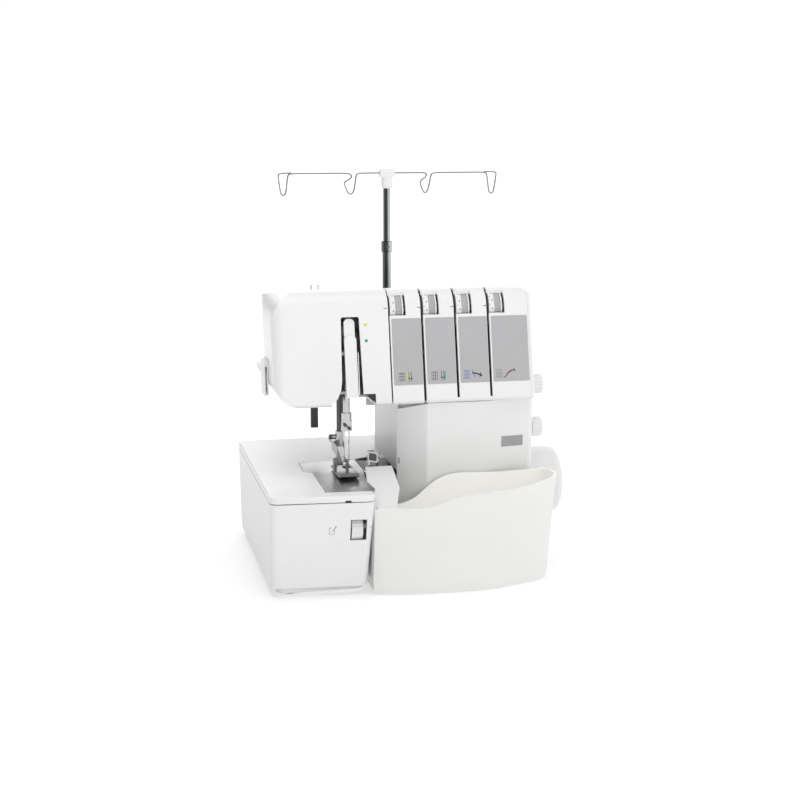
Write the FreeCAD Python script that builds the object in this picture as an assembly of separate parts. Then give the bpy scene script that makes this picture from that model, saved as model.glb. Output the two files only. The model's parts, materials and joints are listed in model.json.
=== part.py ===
import FreeCAD, Part
import os, math
from FreeCAD import Vector as V

os.makedirs("parts", exist_ok=True)

# ---------------------------------------------------------------- dimensions (mm)
# Frame: +Z up, -Y is the operator's side, +X is the handwheel end.
# Origin: bottom centre of the overall box, on the table.
ARM_L, ARM_R = -168.0, -66.0          # cloth bed box, left and right side
BACK = 129.0                          # rear of bed and base
BED_Z, CLOTH_T = 106.0, 6.0           # sewing surface height, cloth plate thickness
BODY_L, BODY_R = -23.0, 121.0         # column sides
COL_BACK = 80.0                       # rear of column and head
SPLIT_Y = 30.0                        # seam between front and rear shells
HEAD_L, HEAD_B, HEAD_T = -152.0, 178.0, 292.0
FACE_B, FACE_T = -68.0, -44.0         # head front face y at its bottom and at z 290
WALL = 2.5
SLOT_X = [-32.6, 2.3, 37.1, 72.0]     # thread slots in the tension housing
SLOT_W = 2.6
NEEDLE_X, NEEDLE_Y = -76.0, -46.0
PBAR_X, PBAR_Y = -80.0, -30.0
SHAFT_Y, SHAFT_Z, SHAFT_R = 15.0, 72.0, 5.0
MOTOR_Y, MOTOR_Z = 72.0, 46.0
PULLEY_R, MPULLEY_R = 30.0, 9.0
DIAL_Y, DIAL_Z, DIAL_R = -25.8, 270.0, 19.1
CREST_Y, REAR_TOP = -22.0, 277.0      # the top of the head falls away behind the crest
POLE_X, POLE_Y = -2.2, 100.0
STAND_Z = 188.0
GUIDE_Z = 404.5
HINGE_Y, HINGE_Z = -50.0, 28.0        # looper cover hinge rod
RUN = 0.05                            # radial running clearance

OUT = {}

def box(x0, x1, y0, y1, z0, z1):
    return Part.makeBox(x1 - x0, y1 - y0, z1 - z0, V(x0, y0, z0))

def cylx(x0, x1, y, z, r):
    return Part.makeCylinder(r, x1 - x0, V(x0, y, z), V(1, 0, 0))

def cyly(y0, y1, x, z, r):
    return Part.makeCylinder(r, y1 - y0, V(x, y0, z), V(0, 1, 0))

def cylz(z0, z1, x, y, r):
    return Part.makeCylinder(r, z1 - z0, V(x, y, z0), V(0, 0, 1))

def poly_z(pts, z0, z1):
    w = Part.makePolygon([V(x, y, z0) for x, y in pts] + [V(pts[0][0], pts[0][1], z0)])
    return Part.Face(w).extrude(V(0, 0, z1 - z0))

def poly_x(pts, x0, x1):
    w = Part.makePolygon([V(x0, y, z) for y, z in pts] + [V(x0, pts[0][0], pts[0][1])])
    return Part.Face(w).extrude(V(x1 - x0, 0, 0))

def poly_y(pts, y0, y1):
    w = Part.makePolygon([V(x, y0, z) for x, z in pts] + [V(pts[0][0], y0, pts[0][1])])
    return Part.Face(w).extrude(V(0, y1 - y0, 0))

def loft_z(sections):
    """ruled solid through horizontal polygons [(z, pts), ...]"""
    wires = []
    for z, pts in sections:
        wires.append(Part.makePolygon([V(x, y, z) for x, y in pts] + [V(pts[0][0], pts[0][1], z)]))
    return Part.makeLoft(wires, True, True)

def fuse(shapes):
    s = shapes[0]
    if len(shapes) > 1:
        s = s.multiFuse(shapes[1:])
    return s.removeSplitter()

def fil(shape, r, pick):
    es = [e for e in shape.Edges if pick(e)]
    if not es:
        return shape
    for rr in (r, r * 0.7, r * 0.4):
        try:
            s = shape.makeFillet(rr, es)
            if s.isValid() and s.Volume > 0:
                return s
        except Exception:
            pass
    print("fillet skipped", r)
    return shape

def mid(e):
    return e.valueAt((e.FirstParameter + e.LastParameter) / 2.0)

def is_z(e):
    a, b = e.valueAt(e.FirstParameter), e.valueAt(e.LastParameter)
    return abs(a.x - b.x) < 6 and abs(a.y - b.y) < 30 and abs(a.z - b.z) > 2.5 * (abs(a.x - b.x) + 0.35 * abs(a.y - b.y)) and abs(a.z - b.z) > 1.5

def put(name, shape, groups=None):
    OUT[name] = shape

# ---------------------------------------------------------------- base
base = fil(poly_z([(-160, 126), (-160, -116), (-72, -116), (-72, -62), (118, -62), (118, 126)], 3, 9), 10, is_z)
FEET = [(-145, -100), (-145, 110), (-30, 110), (100, 110), (95, -40), (-50, -45)]
base = base.cut(fuse([cylz(2.9, 7, x, y, 4.0) for x, y in FEET]))
put("base_plate", base)
feet = []
for x, y in FEET:
    f = fuse([cylz(0, 3, x, y, 9), cylz(3, 7, x, y, 3.95)])
    feet.append(fil(f, 1.0, lambda e: abs(mid(e).z) < 0.01))
put("base_feet", Part.makeCompound(feet))

# ---------------------------------------------------------------- bed cover (left box)
def bed_sec(o, z):
    """bed box section at height z, offset inwards by o"""
    t = (z - 9.0) / 90.0
    yl = -119.0 + (-140.0 + 119.0) * t
    yr = -127.0 + (-148.0 + 127.0) * t
    xr = ARM_R - 4.0 * (1 - t)
    xl = ARM_L + 1.5 * (1 - t)
    return [(xl + o, BACK - 2 * (1 - t) - o), (xl + o, yl + o), (xr - o, yr + o), (xr - o, BACK - 2 * (1 - t) - o)]
bed = fil(loft_z([(9.0, bed_sec(0, 9.0)), (99.0, bed_sec(0, 99.0))]), 8, is_z)
inner = fil(loft_z([(8.0, bed_sec(WALL, 9.0)), (96.4, bed_sec(WALL, 96.4))]), 5.5, is_z)
bed = bed.cut(inner)
# well under the needle plate for the feed mechanism, open to the looper area at the right
bed = bed.cut(box(-113, ARM_R + 5, -124, 2, 60, 100))
# front window for the cutting width dial
bed = bed.cut(box(-90, -74, -160, -120, 59, 81))
put("bed_cover", bed)

# cutting width dial: drum on an X axis behind the window
CW_Y, CW_Z, CW_R = -124.5, 70.0, 14.0
dial = cylx(-88.3, -77.0, CW_Y, CW_Z, CW_R)
dial = fil(dial, 0.8, lambda e: e.Curve.TypeId == 'Part::GeomCircle')
grooves = []
for k in range(24):
    a = math.radians(15 * k)
    grooves.append(cylx(-88.4, -76.9, CW_Y + (CW_R + 0.35) * math.cos(a), CW_Z + (CW_R + 0.35) * math.sin(a), 0.9))
dial = dial.cut(fuse(grooves)).cut(cylx(-89, -76, CW_Y, CW_Z, 3 + RUN))
put("cutting_width_dial", dial)
cwax = fuse([cylx(-93, -71.5, CW_Y, CW_Z, 3.0), box(-95.5, -93, -129.5, -122.2, 62, 96.4), box(-71.5, -70.2, -129.5, -122.2, 62, 96.4)])
put("cutting_width_dial_bracket", cwax)
# ---------------------------------------------------------------- cloth plate
cp = poly_z([(ARM_L, BACK), (ARM_L, -140), (ARM_R, -148.5), (ARM_R, BACK)], BED_Z - CLOTH_T, BED_Z)
cp = fil(cp, 8, is_z)
cp = fil(cp, 2.0, lambda e: abs(mid(e).z - BED_Z) < 0.01)
NP = [(-112, -127), (-111, -43.5), (-119.7, -35), (-117.6, 5), (-58, 8), (-58, -41.5), (-64, -94), (-62, -121), (-64, -131)]
NPC = [(-112.4, -127.6), (-111.4, -43.7), (-120.2, -35.2), (-118.1, 5.5), (-50, 8.5), (-50, -131.6), (-64, -131.6)]
cp = cp.cut(poly_z(NPC, 99, 107))
rails = [box(-160, -150, -120, 120, 99.3, 100), box(-90, -70, 20, 120, 99.3, 100)]
cp = fuse([cp] + rails)
cp = cp.cut(box(-96, -90, -160, -137.5, 99, 101.6))
put("cloth_plate", cp)
# release catch under the front edge of the cloth plate
put("cloth_plate_catch", box(-95.6, -90.4, -145.9, -139.4, 99.4, 101.2))

# ---------------------------------------------------------------- needle plate
npl = poly_z(NP, 104.4, BED_Z)
slots = [box(-85, -82.6, -80, -30, 104, 107), box(-80, -77.6, -80, -53, 104, 107), box(-72.2, -69.8, -76, -26, 104, 107),
         box(-79.8, -72.4, -49, -42.6, 104, 107)]
npl = npl.cut(fuse(slots))
NSCREW = [(-104, -112), (-104, -10), (-82, -116)]
npl = npl.cut(fuse([cylz(104, 107, x, y, 2.1) for x, y in NSCREW]))
npl = npl.cut(fuse([cylz(104, 107, -70, -116, 1.0), cylz(104, 107, -64.8, -116, 1.0)]))
put("needle_plate", npl)
scr = []
for x, y in NSCREW:
    scr.append(cylz(98.4, 106.1, x, y, 2.05).cut(box(x - 2.2, x + 2.2, y - 0.3, y + 0.3, 105.4, 106.2)))
put("needle_plate_screws", Part.makeCompound(scr))
# lower (fixed) knife, flush with the plate at its right edge
put("lower_knife", fuse([box(-57.9, -55.9, -56, -44, 92, 105.6), box(-57.9, -55.9, -56, -36, 86, 92)]))

# ---------------------------------------------------------------- frame casting
fr = [box(-58, -18, -18, 8, 9, 16), box(-18, 108, -18, 46, 9, 16),      # foot beam
      box(-110, -58, -100, 0, 84, 91),               # shelf under the needle plate
      box(-110, -75, -18, 0, 9, 84), box(-58, -50, -18, 0, 16, 91),
      box(-75, -58, -18, 0, 84, 91),
      box(20, 48, -4, 40, 16, 225),                  # upright post
      box(98, 108, -4, 40, 16, 96),                  # outer bearing post
      box(-58, 20, -18, 0, 78, 91), box(20, 24, -18, -4, 78, 91),
      box(-110, 48, -4, 34, 225, 243),               # upper arm
      box(-92, -66, -51, -4, 228, 231), box(-92, -66, -51, -4, 188, 191),   # needle bar bracket
      box(-98, -92, -51, -4, 188, 231), box(-98, -66, -10, -4, 191, 243)]
# pads that carry the needle plate
fr += [box(-110, -96, -122, -100, 86, 104.4), box(-110, -96, -100, -88, 91, 104.4), box(-110, -98, -18, 0, 91, 104.4), box(-90, -66.5, -122, -108, 86, 104.4), box(-96, -90, -122, -108, 86, 91)]
frame = fuse(fr)
frame = frame.cut(fuse([cylx(10, 60, SHAFT_Y, SHAFT_Z, 9.0), cylx(90, 112, SHAFT_Y, SHAFT_Z, 9.0)]))
frame = frame.cut(fuse([cylz(180, 250, NEEDLE_X, NEEDLE_Y, 3.5 + RUN), cylz(180, 250, PBAR_X, PBAR_Y, 3.5 + RUN)]))
frame = frame.cut(fuse([cylz(98.3, 105, x, y, 2.1) for x, y in NSCREW]))
frame = frame.cut(box(-82.5, -70.5, -54, -38, 80, 95))   # needle clearance
put("frame_casting", frame)

put("main_shaft", cylx(-16, 160, SHAFT_Y, SHAFT_Z, SHAFT_R))
def ring(x0, x1, y, z, ro, ri):
    return cylx(x0, x1, y, z, ro).cut(cylx(x0 - 1, x1 + 1, y, z, ri))
put("shaft_bearings", Part.makeCompound([ring(36, 46, SHAFT_Y, SHAFT_Z, 9, SHAFT_R + RUN), ring(99, 107, SHAFT_Y, SHAFT_Z, 9, SHAFT_R + RUN)]))
# drive pulley with flanges and lightening holes
dp = fuse([cylx(66, 78, SHAFT_Y, SHAFT_Z, PULLEY_R), cylx(66, 67.2, SHAFT_Y, SHAFT_Z, PULLEY_R + 3), cylx(76.8, 78, SHAFT_Y, SHAFT_Z, PULLEY_R + 3), cylx(60, 84, SHAFT_Y, SHAFT_Z, 9)])
dp = dp.cut(cylx(59, 85, SHAFT_Y, SHAFT_Z, SHAFT_R + 0.01))
dp = dp.cut(fuse([cylx(60, 84, SHAFT_Y + 19 * math.cos(a), SHAFT_Z + 19 * math.sin(a), 5.5) for a in [math.radians(60 * k) for k in range(6)]]))
put("drive_pulley", dp)
mot = fuse([cylx(-8, 58, MOTOR_Y, MOTOR_Z, 24), cylx(58, 62, MOTOR_Y, MOTOR_Z, 9), cylx(-12, -8, MOTOR_Y, MOTOR_Z, 9), box(0, 50, MOTOR_Y - 22, MOTOR_Y + 22, 9, 26)])
mot = mot.cut(cylx(30, 63, MOTOR_Y, MOTOR_Z, 3 + RUN))
put("motor", mot)
mp = fuse([cylx(66, 78, MOTOR_Y, MOTOR_Z, MPULLEY_R), cylx(66, 67.2, MOTOR_Y, MOTOR_Z, MPULLEY_R + 2.6), cylx(76.8, 78, MOTOR_Y, MOTOR_Z, MPULLEY_R + 2.6), cylx(31, 80, MOTOR_Y, MOTOR_Z, 3.0)])
put("motor_pulley", mp)
# toothed belt as a closed band round both pulleys
def belt_outline(r1, r2, x0, x1):
    d = math.hypot(MOTOR_Y - SHAFT_Y, MOTOR_Z - SHAFT_Z)
    th = math.atan2(MOTOR_Z - SHAFT_Z, MOTOR_Y - SHAFT_Y)
    b = math.acos((r1 - r2) / d)
    def pt(cy, cz, r, a):
        return V(x0, cy + r * math.cos(a), cz + r * math.sin(a))
    a1, a2 = th + b, th - b
    p1, p2 = pt(SHAFT_Y, SHAFT_Z, r1, a1), pt(SHAFT_Y, SHAFT_Z, r1, a2)
    q1, q2 = pt(MOTOR_Y, MOTOR_Z, r2, a1), pt(MOTOR_Y, MOTOR_Z, r2, a2)
    e = [Part.Arc(p1, pt(SHAFT_Y, SHAFT_Z, r1, th + math.pi), p2).toShape(), Part.LineSegment(p2, q2).toShape(),
         Part.Arc(q2, pt(MOTOR_Y, MOTOR_Z, r2, th), q1).toShape(), Part.LineSegment(q1, p1).toShape()]
    return Part.Face(Part.Wire(e)).extrude(V(x1 - x0, 0, 0))
belt = belt_outline(PULLEY_R + 1.9, MPULLEY_R + 1.9, 68, 76).cut(belt_outline(PULLEY_R + 0.3, MPULLEY_R + 0.3, 67, 77))
put("drive_belt", belt)

# handwheel
hw = cylx(131, 168, SHAFT_Y, SHAFT_Z, 36)
hw = fil(hw, 7, lambda e: e.Curve.TypeId == 'Part::GeomCircle' and mid(e).x > 167)
hw = fil(hw, 2, lambda e: e.Curve.TypeId == 'Part::GeomCircle' and mid(e).x < 132)
hw = hw.cut(cylx(130, 158, SHAFT_Y, SHAFT_Z, 30).cut(cylx(129, 159, SHAFT_Y, SHAFT_Z, 12)))
hw = fuse([hw, cylx(123.5, 131, SHAFT_Y, SHAFT_Z, 12)])
hw = hw.cut(cylx(123, 160, SHAFT_Y, SHAFT_Z, SHAFT_R + 0.01))
hwg = [cylx(136, 158, SHAFT_Y + 37.2 * math.cos(math.radians(7.5 * k)), SHAFT_Z + 37.2 * math.sin(math.radians(7.5 * k)), 1.7) for k in range(48)]
hw = hw.cut(fuse(hwg))
hw = hw.cut(cylx(166.8, 169, SHAFT_Y, SHAFT_Z, 17))
put("handwheel", hw)

# ---------------------------------------------------------------- head envelope
def face_y(z):
    return FACE_B + (FACE_T - FACE_B) * (z - 178.0) / 112.0

def head_env(o, x0, x1, left=True):
    """head solid, inset by o"""
    pts = [(face_y(HEAD_B) + o, HEAD_B + o), (face_y(HEAD_T) + o, HEAD_T - o), (CREST_Y, HEAD_T - o), (COL_BACK - o, REAR_TOP - o), (COL_BACK - o, HEAD_B + o)]
    s = poly_x(pts, x0, x1)
    s = fil(s, 22 - o, lambda e: abs(mid(e).z - (HEAD_T - o)) < 0.1 and mid(e).y < CREST_Y - 5 and abs(mid(e).x - (x0 + x1) / 2) < 1)
    s = fil(s, 60, lambda e: abs(mid(e).z - (HEAD_T - o)) < 0.1 and abs(mid(e).y - CREST_Y) < 0.1)
    s = fil(s, 14 - o, lambda e: abs(mid(e).z - (REAR_TOP - o)) < 0.1 and mid(e).y > 50 and abs(mid(e).x - (x0 + x1) / 2) < 1)
    s = fil(s, max(3.5 - o, 0.8), lambda e: abs(mid(e).z - (HEAD_B + o)) < 0.1 and mid(e).y < 0 and abs(mid(e).x - (x0 + x1) / 2) < 1)
    return s

def rrect(x0, x1, z0, z1, radii, y):
    """closed wire in the XZ plane, corner radii in the order lower left, lower right, upper right, upper left"""
    ll, lr, ur, ul = radii
    k = math.sqrt(0.5)
    def P(x, z):
        return V(x, y, z)
    e = [Part.LineSegment(P(x0 + ll, z0), P(x1 - lr, z0)).toShape(),
         Part.Arc(P(x1 - lr, z0), P(x1 - lr + lr * k, z0 + lr - lr * k), P(x1, z0 + lr)).toShape(),
         Part.LineSegment(P(x1, z0 + lr), P(x1, z1 - ur)).toShape(),
         Part.Arc(P(x1, z1 - ur), P(x1 - ur + ur * k, z1 - ur + ur * k), P(x1 - ur, z1)).toShape(),
         Part.LineSegment(P(x1 - ur, z1), P(x0 + ul, z1)).toShape(),
         Part.Arc(P(x0 + ul, z1), P(x0 + ul - ul * k, z1 - ul + ul * k), P(x0, z1 - ul)).toShape(),
         Part.LineSegment(P(x0, z1 - ul), P(x0, z0 + ll)).toShape(),
         Part.Arc(P(x0, z0 + ll), P(x0 + ll - ll * k, z0 + ll - ll * k), P(x0 + ll, z0)).toShape()]
    return Part.Wire(e)

def head_solid(o):
    """head: the meeting of a side profile, an end-rounded front outline and a plan with soft front corners"""
    x0, x1 = HEAD_L + o, BODY_R - o
    s = head_env(min(o, 12), x0 - 1, x1 + 1)
    xz = Part.Face(rrect(x0, x1, HEAD_B + o, HEAD_T - o, [max(r - o, 1.5) for r in (27, 3, 17, 31)], -130)).extrude(V(0, 260, 0))
    r = max(11 - o, 1.5)
    y0 = face_y(170) + o
    k = math.sqrt(0.5)
    def P(x, y):
        return V(x, y, 170)
    e = [Part.LineSegment(P(x0 + r, y0), P(x1 - r, y0)).toShape(),
         Part.Arc(P(x1 - r, y0), P(x1 - r + r * k, y0 + r - r * k), P(x1, y0 + r)).toShape(),
         Part.LineSegment(P(x1, y0 + r), P(x1, 150)).toShape(),
         Part.LineSegment(P(x1, 150), P(x0 + 21.3, 150)).toShape(),
         Part.LineSegment(P(x0 + 21.3, 150), P(x0, 2)).toShape(),
         Part.LineSegment(P(x0, 2), P(x0, y0 + r)).toShape(),
         Part.Arc(P(x0, y0 + r), P(x0 + r - r * k, y0 + r - r * k), P(x0 + r, y0)).toShape()]
    plan = Part.Face(Part.Wire(e)).extrude(V(0, (FACE_T - FACE_B) / 112.0 * 130.0, 130.0))
    return s.common(xz).common(plan).removeSplitter()

head_o = head_solid(0)
head_i = head_solid(WALL)

# ---------------------------------------------------------------- column envelope
def col_solid(o, z0, z1):
    pts = [(BODY_L + o, -45.0 + o * 0.6), (5.0 + o * 0.3, -63.0 + o), (60, -64.5 + o), (BODY_R - o, -56.5 + o), (BODY_R - o, COL_BACK - o), (BODY_L + o, COL_BACK - o)]
    s = poly_z(pts, z0, z1)
    s = fil(s, max(9 - o, 2), lambda e: is_z(e) and (mid(e).x > 100 and mid(e).y < 0))
    s = fil(s, max(12 - o, 2), lambda e: is_z(e) and (mid(e).y > 60))
    s = fil(s, max(5 - o, 1.5), lambda e: is_z(e) and (abs(mid(e).x - 5) < 2.5 and mid(e).y < -50))
    return s
col_o = col_solid(0, 9.3, HEAD_B)
col_i = col_solid(WALL, 8, HEAD_B + 6)
# low housing behind the column, level with the bed
bh_o = fil(box(-65.6, BODY_R, 10, BACK, 9.3, BED_Z), 12, lambda e: is_z(e) and mid(e).y > 100 and mid(e).x > 100)
bh_o = fil(bh_o, 3, lambda e: abs(mid(e).z - BED_Z) < 0.01 and mid(e).y > 100 and e.Length > 100)
bh_i = fil(box(-65.6 + WALL, BODY_R - WALL, 10 + WALL, BACK - WALL, 8, BED_Z - WALL), 9.5, lambda e: is_z(e) and mid(e).y > 100 and mid(e).x > 100)
body_o = head_o.fuse(col_o).fuse(bh_o)
body_i = head_i.fuse(col_i).fuse(bh_i)
shell = body_o.cut(body_i)
# opening for the free arm at the bed level (arm joins the column), and the looper area behind the cover
shell = shell.cut(box(BODY_L - 1, BODY_L + WALL + 0.6, -44, 9.9, 8, 104))
shell = shell.cut(box(-67, -62, 20, 110, 20, 95))

# ---- cutters shared by shells
shaft_hole = cylx(115, 125, SHAFT_Y, SHAFT_Z, 14)
KNOBS = {"stitch_length_knob": (-28, 187.0), "differential_feed_knob": (-28, 141.0)}
knob_holes = fuse([cylx(115, 125, y, z, 4.0 + RUN) for y, z in KNOBS.values()])
# underside opening under the head for needle bar, presser bar and take-up
under = box(-94, -50, -76, -18, 176, 182)

# thread lever slot in the front, flared at its lower left
def front_prism(pts_xz, y0=-100, y1=-30):
    return poly_y(pts_xz, y0, y1)
lever_slot = front_prism([(-81.8, 266.5), (-63.2, 266.5), (-61.6, 190), (-61.6, 170), (-92.8, 170), (-92.6, 181), (-88.0, 187), (-84.4, 195), (-83.2, 204)], -100, -38)
lever_slot = fil(lever_slot, 2.0, lambda e: abs(mid(e).z - 266.5) < 0.1 and abs(mid(e).y + 69) < 1)
notch = box(-62, -49, -80, -52, 170, 190)

# ---------------------------------------------------------------- split the shells
G = 0.2
hf = shell.common(box(-160, SLOT_X[0] - G, -80, SPLIT_Y - G, HEAD_B, 300)).cut(lever_slot).cut(notch).cut(under)
hf = fuse([hf] + [fuse([cylz(287.0, 294.0, x, 0, 1.2), cylz(294.0, 295.0, x, 0, 2.0)]) for x in (-103.5, -96)])
put("head_front_cover", hf)

th = shell.common(box(SLOT_X[0] + G, BODY_R - 6.0, -80, SPLIT_Y - G, HEAD_B, 300))
def slot_cut(i):
    sx = SLOT_X[i]
    zb = 170 if i < 2 else 183.0
    return box(sx - SLOT_W / 2, sx + SLOT_W / 2, -80, -30, zb, 300)
th = th.cut(fuse([slot_cut(i) for i in range(4)]))
# dial windows to the right of each slot
win = [box(sx + SLOT_W / 2 - 0.2, sx + 18.2, -60, -37, 266.5, 292.0) for sx in SLOT_X]
th = th.cut(fuse(win))
skirt = poly_z([(-19.4, -39.4), (8.6, -57.4), (14, -58.0), (14, -56.5), (9.4, -56.1), (-18.6, -38.1)], 166.0, 179.0)
th = th.fuse(skirt).removeSplitter()
put("tension_housing", th)

rc = shell.common(box(-160, BODY_R - 6.0, SPLIT_Y, 135, 9, 300))
rc = rc.cut(box(64, 106, 120, 135, 28, 56))
rc = rc.cut(box(-104, -60.5, 36, 46.5, 176, 182))     # slot for the lifter lever
put("rear_cover", rc)

rs = shell.common(box(BODY_R - 5.8, 125, -80, 90, HEAD_B + 0.0, 300)).fuse(shell.common(box(BODY_R - 5.8, 125, -42.8, 135, 9, HEAD_B + 0.1)))
rs = rs.cut(shaft_hole).cut(knob_holes)
rs = rs.cut(fuse([cylx(115, 122.5, y, z, 2.2) for y, z in ((55, 40), (55, 250), (-10, 250))]))
put("right_side_cover", rs)

cc = shell.common(box(-66, BODY_R - 6.0, -42.8, SPLIT_Y - G, 9, HEAD_B - 0.3))
put("column_cover", cc)

# ---------------------------------------------------------------- looper cover (slides right, then swings down)
lc = shell.common(box(-60, 125, -80, -43.3, 24.5, HEAD_B - 0.5))
# top edge falls away towards the throat under the head
lc = lc.cut(poly_y([(-40, 169.0), (-24, 169.0), (6, 177.2), (6, 190), (-40, 190)], -90, -30))
BRKT_X = (-2, 44, 70)
SLIDE = 6.0
lc = lc.cut(fuse([box(x - SLIDE - 1.5, x + 6.5, -80, -43, 20, 46) for x in BRKT_X]))
lc_knuckle = fuse([cylx(12, 26, HINGE_Y, HINGE_Z, 4.6), box(12, 26, -62.2, HINGE_Y, HINGE_Z - 2, HINGE_Z + 4), cylx(92, 106, HINGE_Y, HINGE_Z, 4.6), box(92, 106, -58.2, HINGE_Y, HINGE_Z - 2, HINGE_Z + 4)])
lc = lc.fuse(lc_knuckle).cut(cylx(0, 115, HINGE_Y, HINGE_Z, 2.5 + RUN)).removeSplitter()
lc = lc.cut(box(-30, -20.4, -50, -43, 112, 118)).cut(box(117.0, 124.0, -44.6, -42, 20, 34))
put("looper_cover", lc)
put("looper_cover_hinge_rod", cylx(-4, 110, HINGE_Y, HINGE_Z, 2.5))
br = []
for x in BRKT_X:
    b = fuse([box(x, x + 5, HINGE_Y - 5, HINGE_Y + 5, 9, HINGE_Z), cylx(x, x + 5, HINGE_Y, HINGE_Z, 5)])
    br.append(b.cut(cylx(x - 1, x + 6, HINGE_Y, HINGE_Z, 2.5 + RUN)))
put("looper_cover_hinge_brackets", Part.makeCompound(br))

# ---------------------------------------------------------------- scrap chute between bed and looper cover
ch_o = [(-59.0, 113.3), (-62, 112.8), (-75, 108.0), (-92, 101.0), (-108, 93.5), (-120, 87.0), (-128, 80.0), (-130, 70.0), (-130, 12.0)]
outer = [(y, z) for y, z in ch_o]
inner_pts = [(-127.5, 12.0), (-127.5, 69.5), (-126, 78.7), (-118.6, 84.9), (-107, 91.2), (-91.2, 98.6), (-74.2, 105.6), (-61.6, 110.4), (-59.0, 110.9)]
ch = poly_x(outer + inner_pts, -65.4, -31.5)
ch = ch.cut(poly_z([(-30, -57), (-31.4, -96), (-36, -110), (-45, -136), (-20, -136), (-20, -57)], 10, 120))
ch = max(ch.Solids, key=lambda q: q.Volume)
ch = fuse([ch, box(-65.4, -63.4, -121, -60, 12, 83.5)])
ch = ch.cut(poly_z([(-70, -150), (-63.4, -131.6), (-61.4, -121), (-63.4, -94), (-57.4, -41), (-57.4, -30), (-70, -30)], 103, 130))
ch = max(ch.Solids, key=lambda q: q.Volume)
put("scrap_chute", ch)

# ---------------------------------------------------------------- trim tray
def tray_bottom(o):
    p = [(-63.5, -131.5), (-57, -134.0), (-38.6, -138.0), (-19.6, -140.5), (0, -142.0), (30, -142.6), (63, -138), (86, -130), (115, -116), (121.5, -104), (122, -70.5)]
    return p
def tray_top():
    return [(-63.5, -141.5), (-55, -143.5), (-38.6, -145.5), (-19.6, -147.0), (0, -148.2), (30, -148.5), (58, -145), (84, -138), (110, -126), (127, -110.5), (130.5, -70.5)]
def inset(pts, d):
    """inset a front polyline towards +Y / centre by d"""
    out = []
    n = len(pts)
    for i, (x, y) in enumerate(pts):
        a = pts[max(i - 1, 0)]; b = pts[min(i + 1, n - 1)]
        tx, ty = b[0] - a[0], b[1] - a[1]
        L = math.hypot(tx, ty)
        nx, ny = -ty / L, tx / L
        out.append((x + nx * d, y + ny * d))
    return out
def bspl(pts, z):
    c = Part.BSplineCurve()
    c.interpolate([V(x, y, z) for x, y in pts])
    return c.toShape()
def tray_face(pts, z, xl, yb):
    first, last = pts[0], pts[-1]
    e = [bspl(pts, z), Part.LineSegment(V(last[0], last[1], z), V(last[0], yb, z)).toShape(),
         Part.LineSegment(V(last[0], yb, z), V(first[0], yb, z)).toShape(),
         Part.LineSegment(V(first[0], yb, z), V(first[0], first[1], z)).toShape()]
    return Part.Wire(e)
YB = -65.5
tb, tt = tray_bottom(0), tray_top()
tray_o = Part.makeLoft([tray_face(tb, 1.0, -66, YB), tray_face(tt, 110.0, -66, YB)], True, True)
tbi = inset(tb, 2.6); tti = inset(tt, 2.6)
tbi[0] = (-60.9, tbi[0][1]); tti[0] = (-60.9, tti[0][1]); tbi[-1] = (tb[-1][0] - 2.6, -70.5); tti[-1] = (tt[-1][0] - 2.6, -70.5)
tray_i = Part.makeLoft([tray_face(tbi, 4.0, -66, YB - 2.6), tray_face(tti, 112.0, -66, YB - 2.6)], True, True)
# rim height along X: low at the left, S-curve up to the right
def rim_wire(front):
    if front:
        p = [(-80, 91.0), (-64, 91.0), (-40, 90.3), (-16, 89.6), (-4, 92.5), (12, 98.5), (30, 101.0), (58, 102.3), (88, 103.6), (112, 105.0), (140, 106.0)]
    else:
        p = [(-80, 70.0), (-30, 74.0), (-8, 81.0), (2, 89.5), (13, 97.5), (26, 102.6), (60, 103.4), (115, 103.8), (140, 104.2)]
    c = Part.BSplineCurve(); c.interpolate([V(x, -200, z) for x, z in p])
    e = [c.toShape(), Part.LineSegment(V(140, -200, p[-1][1]), V(140, -200, 140)).toShape(), Part.LineSegment(V(140, -200, 140), V(-80, -200, 140)).toShape(), Part.LineSegment(V(-80, -200, 140), V(-80, -200, p[0][1])).toShape()]
    return Part.Face(Part.Wire(e))
cut_front = rim_wire(True).extrude(V(0, 124.0, 0))
cut_back = rim_wire(False); cut_back.translate(V(0, 124.0, 0)); cut_back = cut_back.extrude(V(0, 20, 0))
tray = tray_o.cut(tray_i).cut(cut_front).cut(cut_back)
# the left rear corner is open round the chute
tray = tray.cut(box(-66, -28, -134.5, -60, 6, 120))
put("trim_tray", tray)

# ---------------------------------------------------------------- tension group
dials = []
for i, sx in enumerate(SLOT_X):
    x0, x1 = sx + 2.4, sx + 16.3
    d = cylx(x0, x1, DIAL_Y, DIAL_Z, DIAL_R)
    g = [cylx(sx + 8.6, x1 + 0.1, DIAL_Y + (DIAL_R + 0.5) * math.cos(math.radians(9 * k)), DIAL_Z + (DIAL_R + 0.5) * math.sin(math.radians(9 * k)), 1.0) for k in range(40)]
    d = d.cut(fuse(g)).cut(cylx(x0 - 1, x1 + 1, DIAL_Y, DIAL_Z, 4 + RUN))
    put("tension_dial_%d" % (i + 1), d)
hang = [box(x, x + 1.5, DIAL_Y + 1, DIAL_Y + 9, 264.0, 288.0) for x in (-16.0, 18.9, 53.7, 88.6)]
ax = fuse([cylx(-30.6, 92, DIAL_Y, DIAL_Z, 4.0)] + hang)
put("tension_dial_shaft", ax)
discs = []
for i, sx in enumerate(SLOT_X):
    for k in (-1, 1):
        d = cylx(sx + 0.15, sx + 0.75, -22, 232, 11) if k > 0 else cylx(sx - 0.75, sx - 0.15, -22, 232, 11)
        discs.append(d)
    discs.append(fuse([cylx(sx + 0.75, sx + 9, -22, 232, 6)]))
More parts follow.
